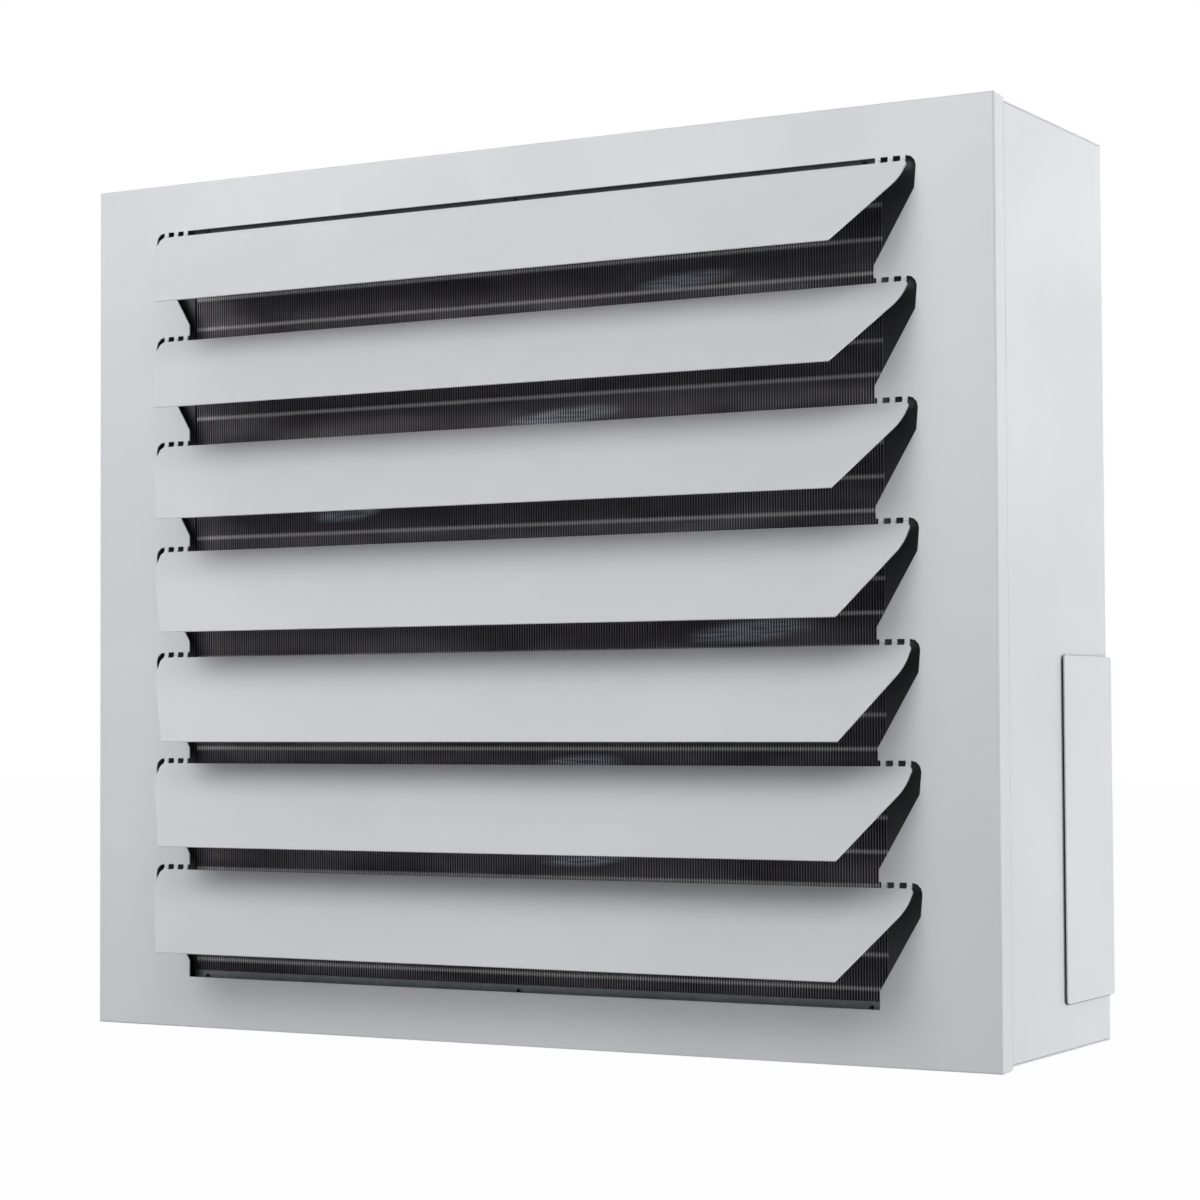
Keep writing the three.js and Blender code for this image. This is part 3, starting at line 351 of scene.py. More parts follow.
# ---------------------------------------------------------------- coil fins and tubes
# The water coil is a pack of thin aluminium fins on copper tubes, dipped in black epoxy.
# The fins are about 0.3 mm thick, one every 1.8 mm, and pressed ribs cross them every 20.1 mm.
fin_low, fin_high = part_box("coil_fins")
fin_pitch = 1.8 * mm
fin_step = 0.9995 * fin_pitch  # a hair less, so that both end fins stay inside the pack
fin_sheet = 0.32 * mm
rib_pitch = 20.1 * mm
rib_start = -276.2 * mm
fin_count = int((fin_high.x - fin_low.x) / fin_pitch)
fin_size = fin_high - fin_low
fin_middle = (fin_high + fin_low) / 2

fin_black, tree, shader = blank("black epoxy on fins")
spot = object_spot(tree)
# distance from the nearest rib's crest in rib pitches, 0 on it and 0.5 halfway between two ribs
count = product(tree, sums(tree, "SUBTRACT", part_of(tree, spot, "Z"), rib_start), 1 / rib_pitch)
step = sums(tree, "FRACT", sums(tree, "ADD", count, 100.5))
rib = sums(tree, "ABSOLUTE", sums(tree, "SUBTRACT", step, 0.5))
crest = spread(tree, rib, 0.02, 0.09, 1.0, 0.0)
painted_crest_halo = spread(tree, rib, 0.03, 0.22, 1.0, 0.0)
worn = spread(tree, stretched(tree, spot, (14.0, 14.0, 60.0), 3.0), 0.36, 0.66)
# the cut front edges, where the dip runs thin and the metal shows
edge = spread(tree, turned_to(tree, "Y"), -0.9, -0.5, 1.0, 0.0)
# the first half millimetre behind those edges, taken as rubbed as well; it is also lightened as a painted
# highlight that widens the bright edge lines
depth = sums(tree, "SUBTRACT", part_of(tree, spot, "Y"), fin_low.y)
rubbed = spread(tree, depth, 0.45 * mm, 0.75 * mm, 1.0, 0.0)
# painted reflection: bluish-white glint patches on the fins, as (x, z, half length, half height), broken up
# by streaks along the fins
painted_glint = 0.0
for x, z, reach, rise in (
    (34, -169, 46, 6.5), (-130, -223.5, 30, 6), (163, -306, 47, 7.5), (44, -386, 34, 6.5),
    (47, -445, 34, 5.5), (-60, -340, 40, 6), (120, -90, 38, 6), (-170, -470, 36, 6),
):
    patch = put(tree, "Mapping", vector_type="TEXTURE", Vector=spot, Location=(x * mm, fin_low.y, z * mm),
                Rotation=(0, -0.07, 0), Scale=(reach * mm, 1.0, rise * mm))
    far = put(tree, "VectorMath", operation="LENGTH", I0=patch).outputs["Value"]
    painted_glint = sums(tree, "MAXIMUM", spread(tree, far, 0.55, 1.0, 1.0, 0.0), painted_glint)
streaks = stretched(tree, spot, (60.0, 60.0, 700.0), 2.0)
painted_glint = product(tree, painted_glint, spread(tree, streaks, 0.38, 0.58, 0.4, 1.0))
painted_glint = product(tree, painted_glint, spread(tree, rubbed, 0.0, 1.0, 0.12, 1.0))
# painted highlight: a soft lighter halo on both sides of each rib's crest, uneven with the wear noise
tone = mixed(tree, product(tree, painted_crest_halo, product(tree, worn, 0.5)), tint(42, 37, 44), tint(104, 99, 105))
# painted highlight: the strip just behind the front edges is made lighter
tone = mixed(tree, product(tree, rubbed, 0.35), tone, tint(118, 114, 122))
tone = mixed(tree, edge, tone, mixed(tree, worn, tint(124, 120, 129), tint(170, 167, 175)))
# painted highlight: a near-white line along each rib's crest, strongest on the front edges and the strip
# behind them
painted_crest_highlight = product(tree, crest, spread(tree, rubbed, 0.0, 1.0, 0.35, 1.0))
tone = mixed(tree, painted_crest_highlight, tone, tint(246, 244, 246))
# painted reflection: the glint patches are laid over the fins' colour in bluish white
tone = mixed(tree, painted_glint, tone, tint(226, 234, 250))
feed(tree, shader, Base_Color=tone, Metallic=product(tree, edge, 0.35),
     Roughness=spread(tree, worn, 0.0, 1.0, 0.46, 0.32))
bumped(tree, shader, sums(tree, "ADD", crest, product(tree, worn, 0.2)), 0.5, 0.4 * mm)

fins = bmesh.new()
for number in range(fin_count + 1):
    x = fin_middle.x + (number - fin_count / 2) * fin_step
    x = min(max(x, fin_low.x + fin_sheet / 2), fin_high.x - fin_sheet / 2)
    bmesh.ops.create_cube(fins, size=1.0, matrix=Matrix.Translation((x, fin_middle.y, fin_middle.z))
                          @ Matrix.Diagonal((fin_sheet, fin_size.y, fin_size.z, 1.0)))
as_piece(fins, "fin_pack", fin_black, "casing", ("coil_fins",))

facing_right = Matrix.Rotation(math.pi / 2, 4, "Y")
tube_pitch = 42.0
tube_radius = 4.8
tube_half = 252.6
front_row, rear_row = -68.75, -46.25
row_shift = tube_pitch / 2  # the rear row's tubes lie halfway between the front row's
tube_levels = [(level - 5.75) * tube_pitch + fan_level for level in range(12)]
tube_outline = [(0, -tube_half), (tube_radius, -tube_half), (tube_radius, tube_half), (0, tube_half)]
tubes = bmesh.new()
for z in tube_levels:
    for y, rise in ((front_row, 0.0), (rear_row, row_shift)):
        turned(tubes, tube_outline, (0, y, z + rise), facing_right, 16)
as_piece(tubes, "coil_tubes", fin_black, "casing")

# ---------------------------------------------------------------- coil frame
# Two channels close the pack above and below, and two flanged plates carry the tube ends.
# All are folded from 1.2 mm steel: the channels are galvanised, with the fine crystals of
# zinc under a dull film, and the plates are dipped in the same black epoxy as the fins.
frame_edge = 0.2 * mm
galvanised, tree, shader = blank("galvanised sheet")
spot = object_spot(tree)
wander = put(tree, "TexNoise", Vector=spot, Scale=260.0).outputs["Color"]
wander = put(tree, "VectorMath", operation="SCALE", I0=wander, Scale=0.002)
crystal = put(tree, "VectorMath", operation="ADD", I0=spot, I1=wander)
crystal = put(tree, "TexVoronoi", Vector=crystal, Scale=320.0, Randomness=1.0)
shade = part_of(tree, crystal.outputs["Color"], "X")
tone = mixed(tree, shade, tint(112, 116, 120), tint(104, 109, 114))
tone = mixed(tree, spread(tree, noise(tree, spot, 24.0, 4.0), 0.4, 0.75), tone, tint(96, 99, 103))
feed(tree, shader, Base_Color=tone, Metallic=0.55, Roughness=spread(tree, shade, 0.0, 1.0, 0.46, 0.54))
bumped(tree, shader, crystal.outputs["Distance"], 0.03, 0.1 * mm)

epoxy, tree, shader = blank("black epoxy on steel")
film = shared(tree, peel, Peel_size=240.0, Mottle_size=12.0)
feed(tree, shader, Base_Color=mixed(tree, film.outputs["Mottle"], tint(38, 38, 44), tint(33, 33, 39)),
     Roughness=spread(tree, film.outputs["Mottle"], 0.0, 1.0, 0.38, 0.5))
bumped(tree, shader, film.outputs["Peel"], 0.12, 0.2 * mm)

for node, name in (
    ("coil_channel_top", "upper_coil_channel"), ("coil_channel_bottom", "lower_coil_channel"),
):
    as_piece(copy_of(node), name, galvanised, "casing", (node,), ease=frame_edge)
as_piece(copy_of("coil_end_plate_left"), "left_tube_plate", epoxy, "casing",
         ("coil_end_plate_left",), ease=frame_edge)

# the right-hand plate is the left one's mirror, and carries the hairpin bends
right_plate = copy_of("coil_end_plate_left")
bmesh.ops.transform(right_plate, matrix=Matrix.Scale(-1, 4, (1, 0, 0)), verts=right_plate.verts)
bmesh.ops.recalc_face_normals(right_plate, faces=right_plate.faces)
as_piece(right_plate, "right_tube_plate", epoxy, "casing",
         ("coil_end_plate_right",), ease=frame_edge)


def bar(bm, path, radius, sides, closed=False):
    """A round bar along a path of points in millimetres, with flat ends."""
    work = bmesh.new()
    points = [Vector(p) * mm for p in path]
    last = len(points)
    turn = Quaternion()
    heading = Vector((0, 0, 1))
    loops = []
    for i, here in enumerate(points):
        along = Vector()
        if i < last - 1 or closed:
            along += (points[(i + 1) % last] - here).normalized()
        if i or closed:
            along += (here - points[i - 1]).normalized()
        along.normalize()
        turn = heading.rotation_difference(along) @ turn
        heading = along
        ring = bmesh.ops.create_circle(
            work, cap_ends=False, radius=radius * mm, segments=sides,
            matrix=Matrix.Translation(here) @ turn.to_matrix().to_4x4())
        loops.append(list({edge for vert in ring["verts"] for edge in vert.link_edges}))
    pairs = list(zip(loops, loops[1:])) + ([(loops[-1], loops[0])] if closed else [])
    for one, other in pairs:
        bmesh.ops.bridge_loops(work, edges=one + other)
    if not closed:
        bmesh.ops.holes_fill(work, edges=loops[0] + loops[-1], sides=sides + 1)
    bmesh.ops.recalc_face_normals(work, faces=work.faces)
    joined(bm, work)


def bend(middle, across, out, steps=10):
    """Half a turn from middle - across to middle + across, bulging along out."""
    middle, across, out = Vector(middle), Vector(across), Vector(out)
    turns = [math.pi * i / steps for i in range(steps + 1)]
    return [middle - across * math.cos(turn) + out * math.sin(turn) for turn in turns]


plate_face = 253.0
bend_start = 258.8
bend_reach = 15.4
hairpins = bmesh.new()
for z in tube_levels:
    path = [(plate_face, front_row, z)]
    path += bend((bend_start, (front_row + rear_row) / 2, z + row_shift / 2),
                 (0, (rear_row - front_row) / 2, row_shift / 2), (bend_reach, 0, 0))
    path += [(plate_face, rear_row, z + row_shift)]
    bar(hairpins, path, tube_radius, 14)
as_piece(hairpins, "return_bends", epoxy, "casing")

# ---------------------------------------------------------------- headers
# Two copper headers stand left of the coil, brazed to the tube ends and dipped with them. Each
# turns to the rear as a 3/4 inch threaded pipe end, with a hexagon to hold it by, and its last
# stretch, through the rear sheet, is bare metal.
header_x = -292
supply_y, return_y = -45.5, -69.5
supply_level, return_level = -502.5, -56.5
pipe_pitch = 1.81
dip_end = 60 * mm  # the black epoxy reaches back to here
connection_thread = []
for turn in range(16):
    connection_thread += [(13.2, 91.3 + pipe_pitch * turn), (12.3, 92.2 + pipe_pitch * turn)]
# the pipe's root is measured from the header's axis, and its end from the casing's middle
pipe_root = [(10.6, 0.0), (11.2, 2.0)]
pipe_end = [(11.2, 90.6)] + connection_thread + [(12.4, 121.6), (11.6, 122.0), (10.2, 122.0), (10.0, 121.6),
                                                 (10.0, 60.0)]
header_end = [(7, 0.3), (9.6, 1.4), (10.5, 3.2)]


def metal_tone(name, light, shade, stain, dull, bare_from=-1.0):
    """Copper or brass that has darkened unevenly in use; it is black with epoxy in front of bare_from."""
    made, tree, shader = blank(name)
    spot = object_spot(tree)
    cloud = spread(tree, noise(tree, spot, 45.0, 6.0), 0.3, 0.7)
    blot = spread(tree, noise(tree, spot, 160.0, 5.0), 0.55, 0.75)
    tone = mixed(tree, cloud, light, shade)
    tone = mixed(tree, product(tree, blot, 0.6), tone, stain)
    bare = spread(tree, part_of(tree, spot, "Y"), bare_from, bare_from + 1 * mm)
    feed(tree, shader, Base_Color=mixed(tree, bare, tint(34, 34, 40), tone), Metallic=bare,
         Roughness=spread(tree, sums(tree, "ADD", cloud, blot), 0.0, 2.0, dull, dull + 0.25))
    bumped(tree, shader, cloud, 0.08, 0.1 * mm)
    return made


copper = metal_tone("tube copper", tint(150, 98, 72), tint(122, 76, 54), tint(72, 52, 42), 0.32, dip_end)
brass = metal_tone("turned brass", tint(206, 176, 104), tint(180, 146, 80), tint(112, 92, 56), 0.24)


def hexagon(bm, corner, low, high, spot, facing):
    """A six-sided nut or plug with turned-down corners; corner is their distance from its axis."""
    work = bmesh.new()
    bmesh.ops.create_circle(
        work, cap_ends=True, radius=corner * mm, segments=6, matrix=Matrix.Translation((0, 0, low * mm)))
    raised = bmesh.ops.extrude_face_region(work, geom=list(work.faces))
    top = [v for v in raised["geom"] if isinstance(v, bmesh.types.BMVert)]
    bmesh.ops.translate(work, vec=(0, 0, (high - low) * mm), verts=top)
    bmesh.ops.recalc_face_normals(work, faces=work.faces)
    rims = [e for e in work.edges if abs(e.verts[0].co.z - e.verts[1].co.z) < 1e-6]
    bmesh.ops.bevel(work, geom=rims, offset=0.07 * corner * mm, offset_type="OFFSET", affect="EDGES",
                    segments=2, profile=0.5, material=-1)
    bmesh.ops.transform(work, matrix=Matrix.Translation(Vector(spot) * mm) @ facing, verts=work.verts)
    joined(bm, work)


for node, name, y, low, high, level, shift in (
    ("supply_header", "supply_pipe", supply_y, -519.5, -74.5, supply_level, row_shift),
    ("return_header", "return_pipe", return_y, -484.5, -39.5, return_level, 0.0),
):
    header = bmesh.new()
    body_outline = ([(0, low)] + [(radius, low + rise) for radius, rise in header_end]
                    + [(radius, high - rise) for radius, rise in header_end[::-1]] + [(0, high)])
    turned(header, body_outline, (header_x, y, 0), facing_up, 36)
    for z in [tube_level + shift for tube_level in tube_levels]:
        if low + tube_radius < z < high - tube_radius:
            turned(header, [(tube_radius, 3.0), (tube_radius, 38.0), (0, 38.0)],
                   (header_x, y, z), facing_right, 16)
            # the fillet of braze round the tube
            turned(header, [(5.0, 13.2), (5.9, 9.9), (6.9, 8.0)], (header_x, y, z), facing_right, 16)
    pipe_outline = pipe_root + [(radius, depth - y) for radius, depth in pipe_end] + [(10.0, 0.0)]
    turned(header, pipe_outline, (header_x, y, level), facing_rear, 40)
    hexagon(header, 15.2, 100.0 - y, 108.0 - y, (header_x, y, level), facing_rear)
    as_piece(header, name, copper, "casing", (node,), crease=32)

# a brass plug drains the supply header from below, and a vent stands on the return header
plug_length, cap_length = 10.0, 4.0
cap_edge = 0.6
for node, name, y, low, cap_below in (
    ("drain_plug", "brass_drain_plug", supply_y, -533.7, True),
    ("air_vent", "brass_air_vent", return_y, -39.3, False),
):
    plug = bmesh.new()
    base = low + cap_length if cap_below else low
    cap = low if cap_below else low + plug_length
    hexagon(plug, 7.5, base, base + plug_length, (header_x, y, 0), facing_up)
    turned(plug, [(0, cap), (4.4, cap), (5.0, cap + cap_edge), (5.0, cap + cap_length - cap_edge),
                  (4.4, cap + cap_length), (0, cap + cap_length)], (header_x, y, 0), facing_up, 28)
    as_piece(plug, name, brass, "casing", (node,))

# ---------------------------------------------------------------- pipe grommets
# Black rubber grommets snap into the rear sheet round both pipe ends. Moulded in one piece,
# with a softly rounded collar on each side of the sheet.
grommet_outline = [(13.5, 82.3), (14.2, 82.0), (19.8, 82.0), (20.6, 82.6), (20.6, 84.2), (20.0, 84.8),
                   (16.7, 84.8), (16.7, 86.2), (20.0, 86.2), (20.6, 86.7), (20.2, 88.3), (19.2, 89.0),
                   (14.2, 89.0), (13.5, 88.4), (13.5, 82.3)]
rubber, tree, shader = blank("moulded rubber")
spot = object_spot(tree)
bloom = spread(tree, noise(tree, spot, 70.0, 5.0), 0.4, 0.8)
feed(tree, shader, Base_Color=mixed(tree, bloom, tint(27, 27, 29), tint(46, 46, 48)),
     Roughness=spread(tree, bloom, 0.0, 1.0, 0.62, 0.8))
bumped(tree, shader, noise(tree, spot, 1100.0, 2.0), 0.12, 0.1 * mm)
for node, name, level in (
    ("pipe_grommet_supply", "supply_grommet", supply_level),
    ("pipe_grommet_return", "return_grommet", return_level),
):
    grommet = bmesh.new()
    turned(grommet, grommet_outline, (header_x, 0, level), facing_rear, 44)
    as_piece(grommet, name, rubber, "casing", (node,))

# ---------------------------------------------------------------- fan: impeller and motor
# Five sickle blades of 1.8 mm steel are welded to a band that is pressed over the outer
# rotor of the motor. The rotor's can turns round the fixed, ribbed end of the motor.
blade_count = 5
blade_sheet = 1.8 * mm
blade_root, blade_tip = 52.7, 198.0
blade_middle = 44.0
blade_depth = 44.0
blade_camber = 6.0
blade_lag = math.radians(1.8)
rotor_screw_circle = 22


def black_coat(name, light, shade, dusted, grain, mottle, dusty, glossy, matt, relief, clear=0.0):
    """Black paint or plastic on metal, greyed by dust where it faces up."""
    made, tree, shader = blank(name)
    film = shared(tree, peel, Peel_size=grain, Mottle_size=mottle)
    drift = shared(tree, dust, Amount=dusty)
    tone = mixed(tree, film.outputs["Mottle"], light, shade)
    feed(tree, shader, Base_Color=mixed(tree, drift.outputs["Dust"], tone, dusted),
         Roughness=spread(tree, film.outputs["Mottle"], 0.0, 1.0, glossy, matt), Coat_Weight=clear)
    bumped(tree, shader, film.outputs["Peel"], relief, 0.15 * mm)
    return made


casting = black_coat("black painted casting", tint(40, 40, 43), tint(31, 31, 34), tint(92, 88, 82),
                     grain=640.0, mottle=20.0, dusty=0.6, glossy=0.42, matt=0.55, relief=0.25)

impeller = bmesh.new()
turned(impeller, [(51.3, 18.0), (54.0, 18.0), (54.2, 18.3), (54.2, 69.7), (54.0, 70.0), (51.3, 70.0),
                  (51.2, 69.7), (51.2, 18.3), (51.3, 18.0)], fan_spot, facing_rear, 60)
for blade in range(blade_count):
    work = bmesh.new()
    bmesh.ops.create_grid(work, x_segments=16, y_segments=14, size=0.5)
    for vert in work.verts:
        # chord runs from -0.5 to 0.5 across the blade, and out from 0 at its root to 1 at its tip
        chord, out = vert.co.x, vert.co.y + 0.5
        reach = blade_root + (blade_tip - blade_root) * out
        span = math.radians(58 - 9 * math.sin(out * math.pi / 2))
        sweep = math.radians(-26 * out * out + 8 * out)
        depth = blade_depth * (1 - 0.28 * out)
        camber = blade_camber * (1 - 0.4 * out)
        angle = sweep + chord * span - 2 * math.pi * blade / blade_count - blade_lag
        y = blade_middle + chord * depth - camber * (1 - 4 * chord * chord)
        vert.co = Vector((reach * math.cos(angle), y, reach * math.sin(angle) + fan_level)) * mm
    bmesh.ops.recalc_face_normals(work, faces=work.faces)
    bmesh.ops.solidify(work, geom=work.faces[:], thickness=blade_sheet)
    bmesh.ops.recalc_face_normals(work, faces=work.faces)
    joined(impeller, work)
as_piece(impeller, "impeller", casting, "fan_rotor", ("fan_impeller",), crease=30)

rotor = bmesh.new()
turned(rotor, [(0, 8.0), (8.2, 8.0), (9.0, 8.8), (9.0, 11.0), (30.0, 11.0), (32.0, 12.2), (40.0, 12.2),
               (43.0, 11.0), (46.5, 11.5), (49.2, 13.2), (50.6, 16.0), (51.0, 19.0), (51.0, 72.2),
               (50.4, 73.0), (0, 73.0)], fan_spot, facing_rear, 60)
for turn in range(3):
    angle = math.radians(120 * turn + 30)
    screw_spot = (rotor_screw_circle * math.cos(angle), 0, rotor_screw_circle * math.sin(angle) + fan_level)
    turned(rotor, [(0, 9.4), (1.2, 9.4), (1.3, 8.9), (3.2, 8.9), (3.8, 9.4), (3.8, 11.2), (0, 11.2)],
           screw_spot, facing_rear, 16)
as_piece(rotor, "rotor_can", casting, "fan_rotor", ("motor_rotor",), crease=30)


def ribs_round(bm, count, spot, size, ease, middle):
    """Bars with eased edges, evenly round the y axis through middle; the first one lies at spot from it."""
    for number in range(count):
        work = bmesh.new()
        bmesh.ops.create_cube(work, size=1.0, matrix=Matrix.Translation(Vector(spot) * mm)
                              @ Matrix.Diagonal((*(Vector(size) * mm), 1.0)))
        bmesh.ops.bevel(work, geom=work.edges[:], offset=ease * mm, offset_type="OFFSET", affect="EDGES",
                        segments=2, profile=0.5, material=-1)
        swing = Matrix.Rotation(2 * math.pi * number / count, 4, "Y")
        place = Matrix.Translation(Vector(middle) * mm) @ swing
        bmesh.ops.transform(work, matrix=place, verts=work.verts)
        joined(bm, work)


stator = bmesh.new()
turned(stator, [(0, 74.0), (46.4, 74.0), (47.0, 74.6), (47.0, 94.6), (46.4, 95.2), (42.0, 99.5),
                (41.0, 101.5), (41.0, 118.0), (41.6, 118.7), (46.4, 118.7), (47.0, 119.2), (47.0, 120.8),
                (46.6, 121.2), (0, 121.2)], fan_spot, facing_rear, 60)
ribs_round(stator, 20, (43.4, 107.2, 0), (6.4, 23.4, 2.2), 0.4, fan_spot)
as_piece(stator, "ribbed_stator", casting, "casing", ("motor_stator",), crease=30)

# ---------------------------------------------------------------- wire basket
# The motor is carried by a guard basket of 4.6 mm wire: five rings spot welded under six
# arms, a centre plate for the motor, and pressed feet screwed to the rear sheet. All of it is
# dipped in black plastic.
wire_black = black_coat("black dipped wire", tint(30, 30, 32), tint(22, 22, 24), tint(96, 92, 86),
                        grain=380.0, mottle=30.0, dusty=0.55, glossy=0.3, matt=0.42, relief=0.12, clear=0.25)
wire_radius = 2.3
wire_sides = 12
ring_depth = 121.4
rings = ((92, ring_depth), (130, ring_depth), (168, ring_depth), (206, ring_depth), (233.7, 102.8))
arm_path = [(50.8, 123.7), (204.0, 123.7), (209.0, 123.2), (213.5, 121.6), (230.0, 110.6), (232.6, 107.6),
            (233.7, 104.0), (233.7, 92.0), (234.6, 89.6), (236.6, 88.4), (239.0, 88.4)]
arm_angles = [math.radians(30 + 60 * arm) for arm in range(6)]
footed_arms = (0, 2, 3, 5)
foot_face = rear_face + 0.15  # the feet stand on the sheet's coat
foot_reach = 247
basket = bmesh.new()
turned(basket, [(14.3, 121.4), (59.6, 121.4), (60.0, 121.8), (60.0, 123.5), (59.6, 123.9), (14.3, 123.9),
                (14.0, 123.6), (14.0, 121.7), (14.3, 121.4)], fan_spot, facing_rear, 64)
for reach, y in rings:
    turns = 96 if reach > 120 else 72
    angles = [2 * math.pi * i / turns for i in range(turns)]
    ring = [(reach * math.cos(angle), y, reach * math.sin(angle) + fan_level) for angle in angles]
    bar(basket, ring, wire_radius, wire_sides, closed=True)
for arm, angle in enumerate(arm_angles):
    work = bmesh.new()
    bar(work, [(reach, y, 0) for reach, y in arm_path], wire_radius, wire_sides)
    bmesh.ops.bisect_plane(work, geom=work.verts[:] + work.edges[:] + work.faces[:],
                           plane_co=(0, foot_face * mm, 0), plane_no=(0, -1, 0), clear_outer=True)
    if arm in footed_arms:
        pad = bmesh.new()
        turned(pad, [(2.9, 86.15), (2.9, 88.4), (3.1, 88.6), (6.7, 88.6), (7.0, 88.3), (7.0, 86.3),
                     (6.8, 86.15), (2.9, 86.15)], (foot_reach, 0, 0), facing_rear, 32)
        bmesh.ops.create_cube(pad, size=1.0, matrix=Matrix.Translation((238.6 * mm, 87.3 * mm, 0))
                              @ Matrix.Diagonal((7.4 * mm, 2.3 * mm, 9.0 * mm, 1.0)))
        joined(work, pad)
    place = Matrix.Translation(Vector(fan_spot) * mm) @ Matrix.Rotation(-angle, 4, "Y")
    bmesh.ops.transform(work, matrix=place, verts=work.verts)
    joined(basket, work)
as_piece(basket, "guard_basket", wire_black, "casing", ("fan_basket",), crease=32)

# ---------------------------------------------------------------- screws
# Zinc-plated pan-head screws with a cross recess hold the basket's feet and the service
# cover. Each head is cold formed, with a rounded crown.
recess_floor = 1.7
recess_half_width, recess_reach = 0.35, 2.7
head_outline = [(0, recess_floor), (0.9, 1.75), (1.5, 3.02), (2.6, 2.9), (3.6, 2.45), (4.25, 1.75),
                (4.55, 1.0), (4.6, 0.3), (4.5, 0.0), (0, 0.0)]
screw_spots = {}
for number, arm in enumerate(footed_arms, 1):
    across, rise = foot_reach * math.cos(arm_angles[arm]), foot_reach * math.sin(arm_angles[arm])
    screw_spots[f"basket_screw_{number}"] = (across, 88.7, rise + fan_level)
for number, level in enumerate((-351.5, -500.5), 1):
    screw_spots[f"cover_screw_{number}"] = (lip_middle, 88.6, level)
for node, (x, y, z) in screw_spots.items():
    screw = bmesh.new()
    turned(screw, head_outline, (0, 0, 0), facing_up, 32)
    # four arms of the recess, pressed down from the crown
    for vert in screw.verts:
        near, far = sorted((abs(vert.co.x), abs(vert.co.y)))
        if near < recess_half_width * mm and far < recess_reach * mm and vert.co.z > 1.6 * mm:
            vert.co.z = recess_floor * mm
    # each was driven home to another angle
    driven = Matrix.Rotation(math.radians(20 + x), 4, "Z")
    place = Matrix.Translation(Vector((x, y, z)) * mm) @ facing_rear @ driven
    bmesh.ops.transform(screw, matrix=place, verts=screw.verts)
    as_piece(screw, node.replace("screw", "pan_head"), zinc, "casing", (node,), crease=30)

# ---------------------------------------------------------------- electrical compartment
# Behind the cover a galvanised bracket holds a six-pole terminal strip of pale nylon and the
# motor's run capacitor in its clip. The wires enter through two grey nylon glands.
pole_pitch = 13.0
pole_start = -480.5
pole_rows = (43.5, 56.5)
contact_face = 295.8
capacitor_x, capacitor_y = 302.5, 50.0
spade_offset = 4.5
gland_spots = ((262.0, -525.5), (292.0, -529.5))
gland_pitch = 1.6


def moulded(name, light, shade, dull, grain):
    """Injection moulded plastic with a fine spark-eroded grain."""
    made, tree, shader = blank(name)
    spot = object_spot(tree)
    cloud = spread(tree, noise(tree, spot, 60.0, 4.0), 0.3, 0.7)
    feed(tree, shader, Base_Color=mixed(tree, cloud, light, shade),
         Roughness=spread(tree, cloud, 0.0, 1.0, dull - 0.04, dull + 0.06))
    bumped(tree, shader, noise(tree, spot, grain, 2.0), 0.15, 0.08 * mm)
    return made


nylon = moulded("pale nylon", tint(206, 205, 198), tint(196, 194, 186), 0.5, 1500.0)
grey_nylon = moulded("grey nylon", tint(124, 126, 130), tint(112, 114, 118), 0.52, 1300.0)

as_piece(copy_of("terminal_bracket"), "terminal_plate", galvanised, "casing",
         ("terminal_bracket",), ease=frame_edge)
as_piece(copy_of("terminal_strip"), "terminal_block", nylon, "casing",
         ("terminal_strip",), ease=0.25 * mm)
contacts = bmesh.new()
for pole in range(6):
    for y in pole_rows:
        turned(contacts, [(0, 0.8), (0.5, 0.8), (0.6, 1.9), (2.3, 1.9), (2.7, 1.5), (2.7, 0.0), (0, 0.0)],
               (contact_face, y, pole_start + pole_pitch * (pole + 0.5)), facing_right, 16)
as_piece(contacts, "terminal_contacts", brass, "casing")

capacitor = bmesh.new()
turned(capacitor, [(0, -398.5), (13.6, -398.5), (14.6, -397.9), (15.0, -396.8), (15.0, -356.6),
                   (14.2, -355.6), (13.0, -355.6), (12.6, -354.8), (0, -354.8)],
       (capacitor_x, capacitor_y, 0), facing_up, 44)
for y in (capacitor_y - spade_offset, capacitor_y + spade_offset):
    spade_place = Matrix.Translation(Vector((capacitor_x, y, -351.3)) * mm)
    bmesh.ops.create_cube(capacitor, size=1.0, matrix=spade_place
                          @ Matrix.Diagonal((6.3 * mm, 0.8 * mm, 7.4 * mm, 1.0)))
as_piece(capacitor, "run_capacitor_can", nylon, "casing", ("run_capacitor",))
as_piece(copy_of("capacitor_clip"), "capacitor_strap", zinc, "casing",
         ("capacitor_clip",), crease=40)

gland_thread = []
for turn in range(5):
    gland_thread += [(8.0, 77.0 + gland_pitch * turn), (7.3, 77.8 + gland_pitch * turn)]
gland_outline = [(4.0, 76.4), (4.4, 76.0), (7.6, 76.0)] + gland_thread + [
    (8.0, 85.4), (8.0, 86.1), (10.2, 86.1), (10.6, 86.6), (10.6, 91.6), (10.3, 92.0), (10.9, 92.3),
    (11.0, 93.0), (11.0, 97.4), (10.2, 100.8), (8.8, 103.2), (7.6, 104.1), (5.2, 104.1), (4.4, 103.6),
    (4.0, 102.6), (4.0, 76.4)]
for number, (x, z) in enumerate(gland_spots, 1):
    gland = bmesh.new()
    turned(gland, gland_outline, (x, 0, z), facing_rear, 40)
    ribs_round(gland, 12, (10.85, 95.2, 0), (1.1, 4.6, 1.6), 0.3, (x, 0, z))
    hexagon(gland, 11.4, 86.15, 91.8, (x, 0, z), facing_rear)
    as_piece(gland, f"gland_body_{number}", grey_nylon, "casing",
             (f"cable_gland_{number}",), crease=30)
    as_piece(copy_of(f"gland_nut_{number}"), f"gland_lock_nut_{number}", grey_nylon, "casing",
             (f"gland_nut_{number}",), ease=0.3 * mm)

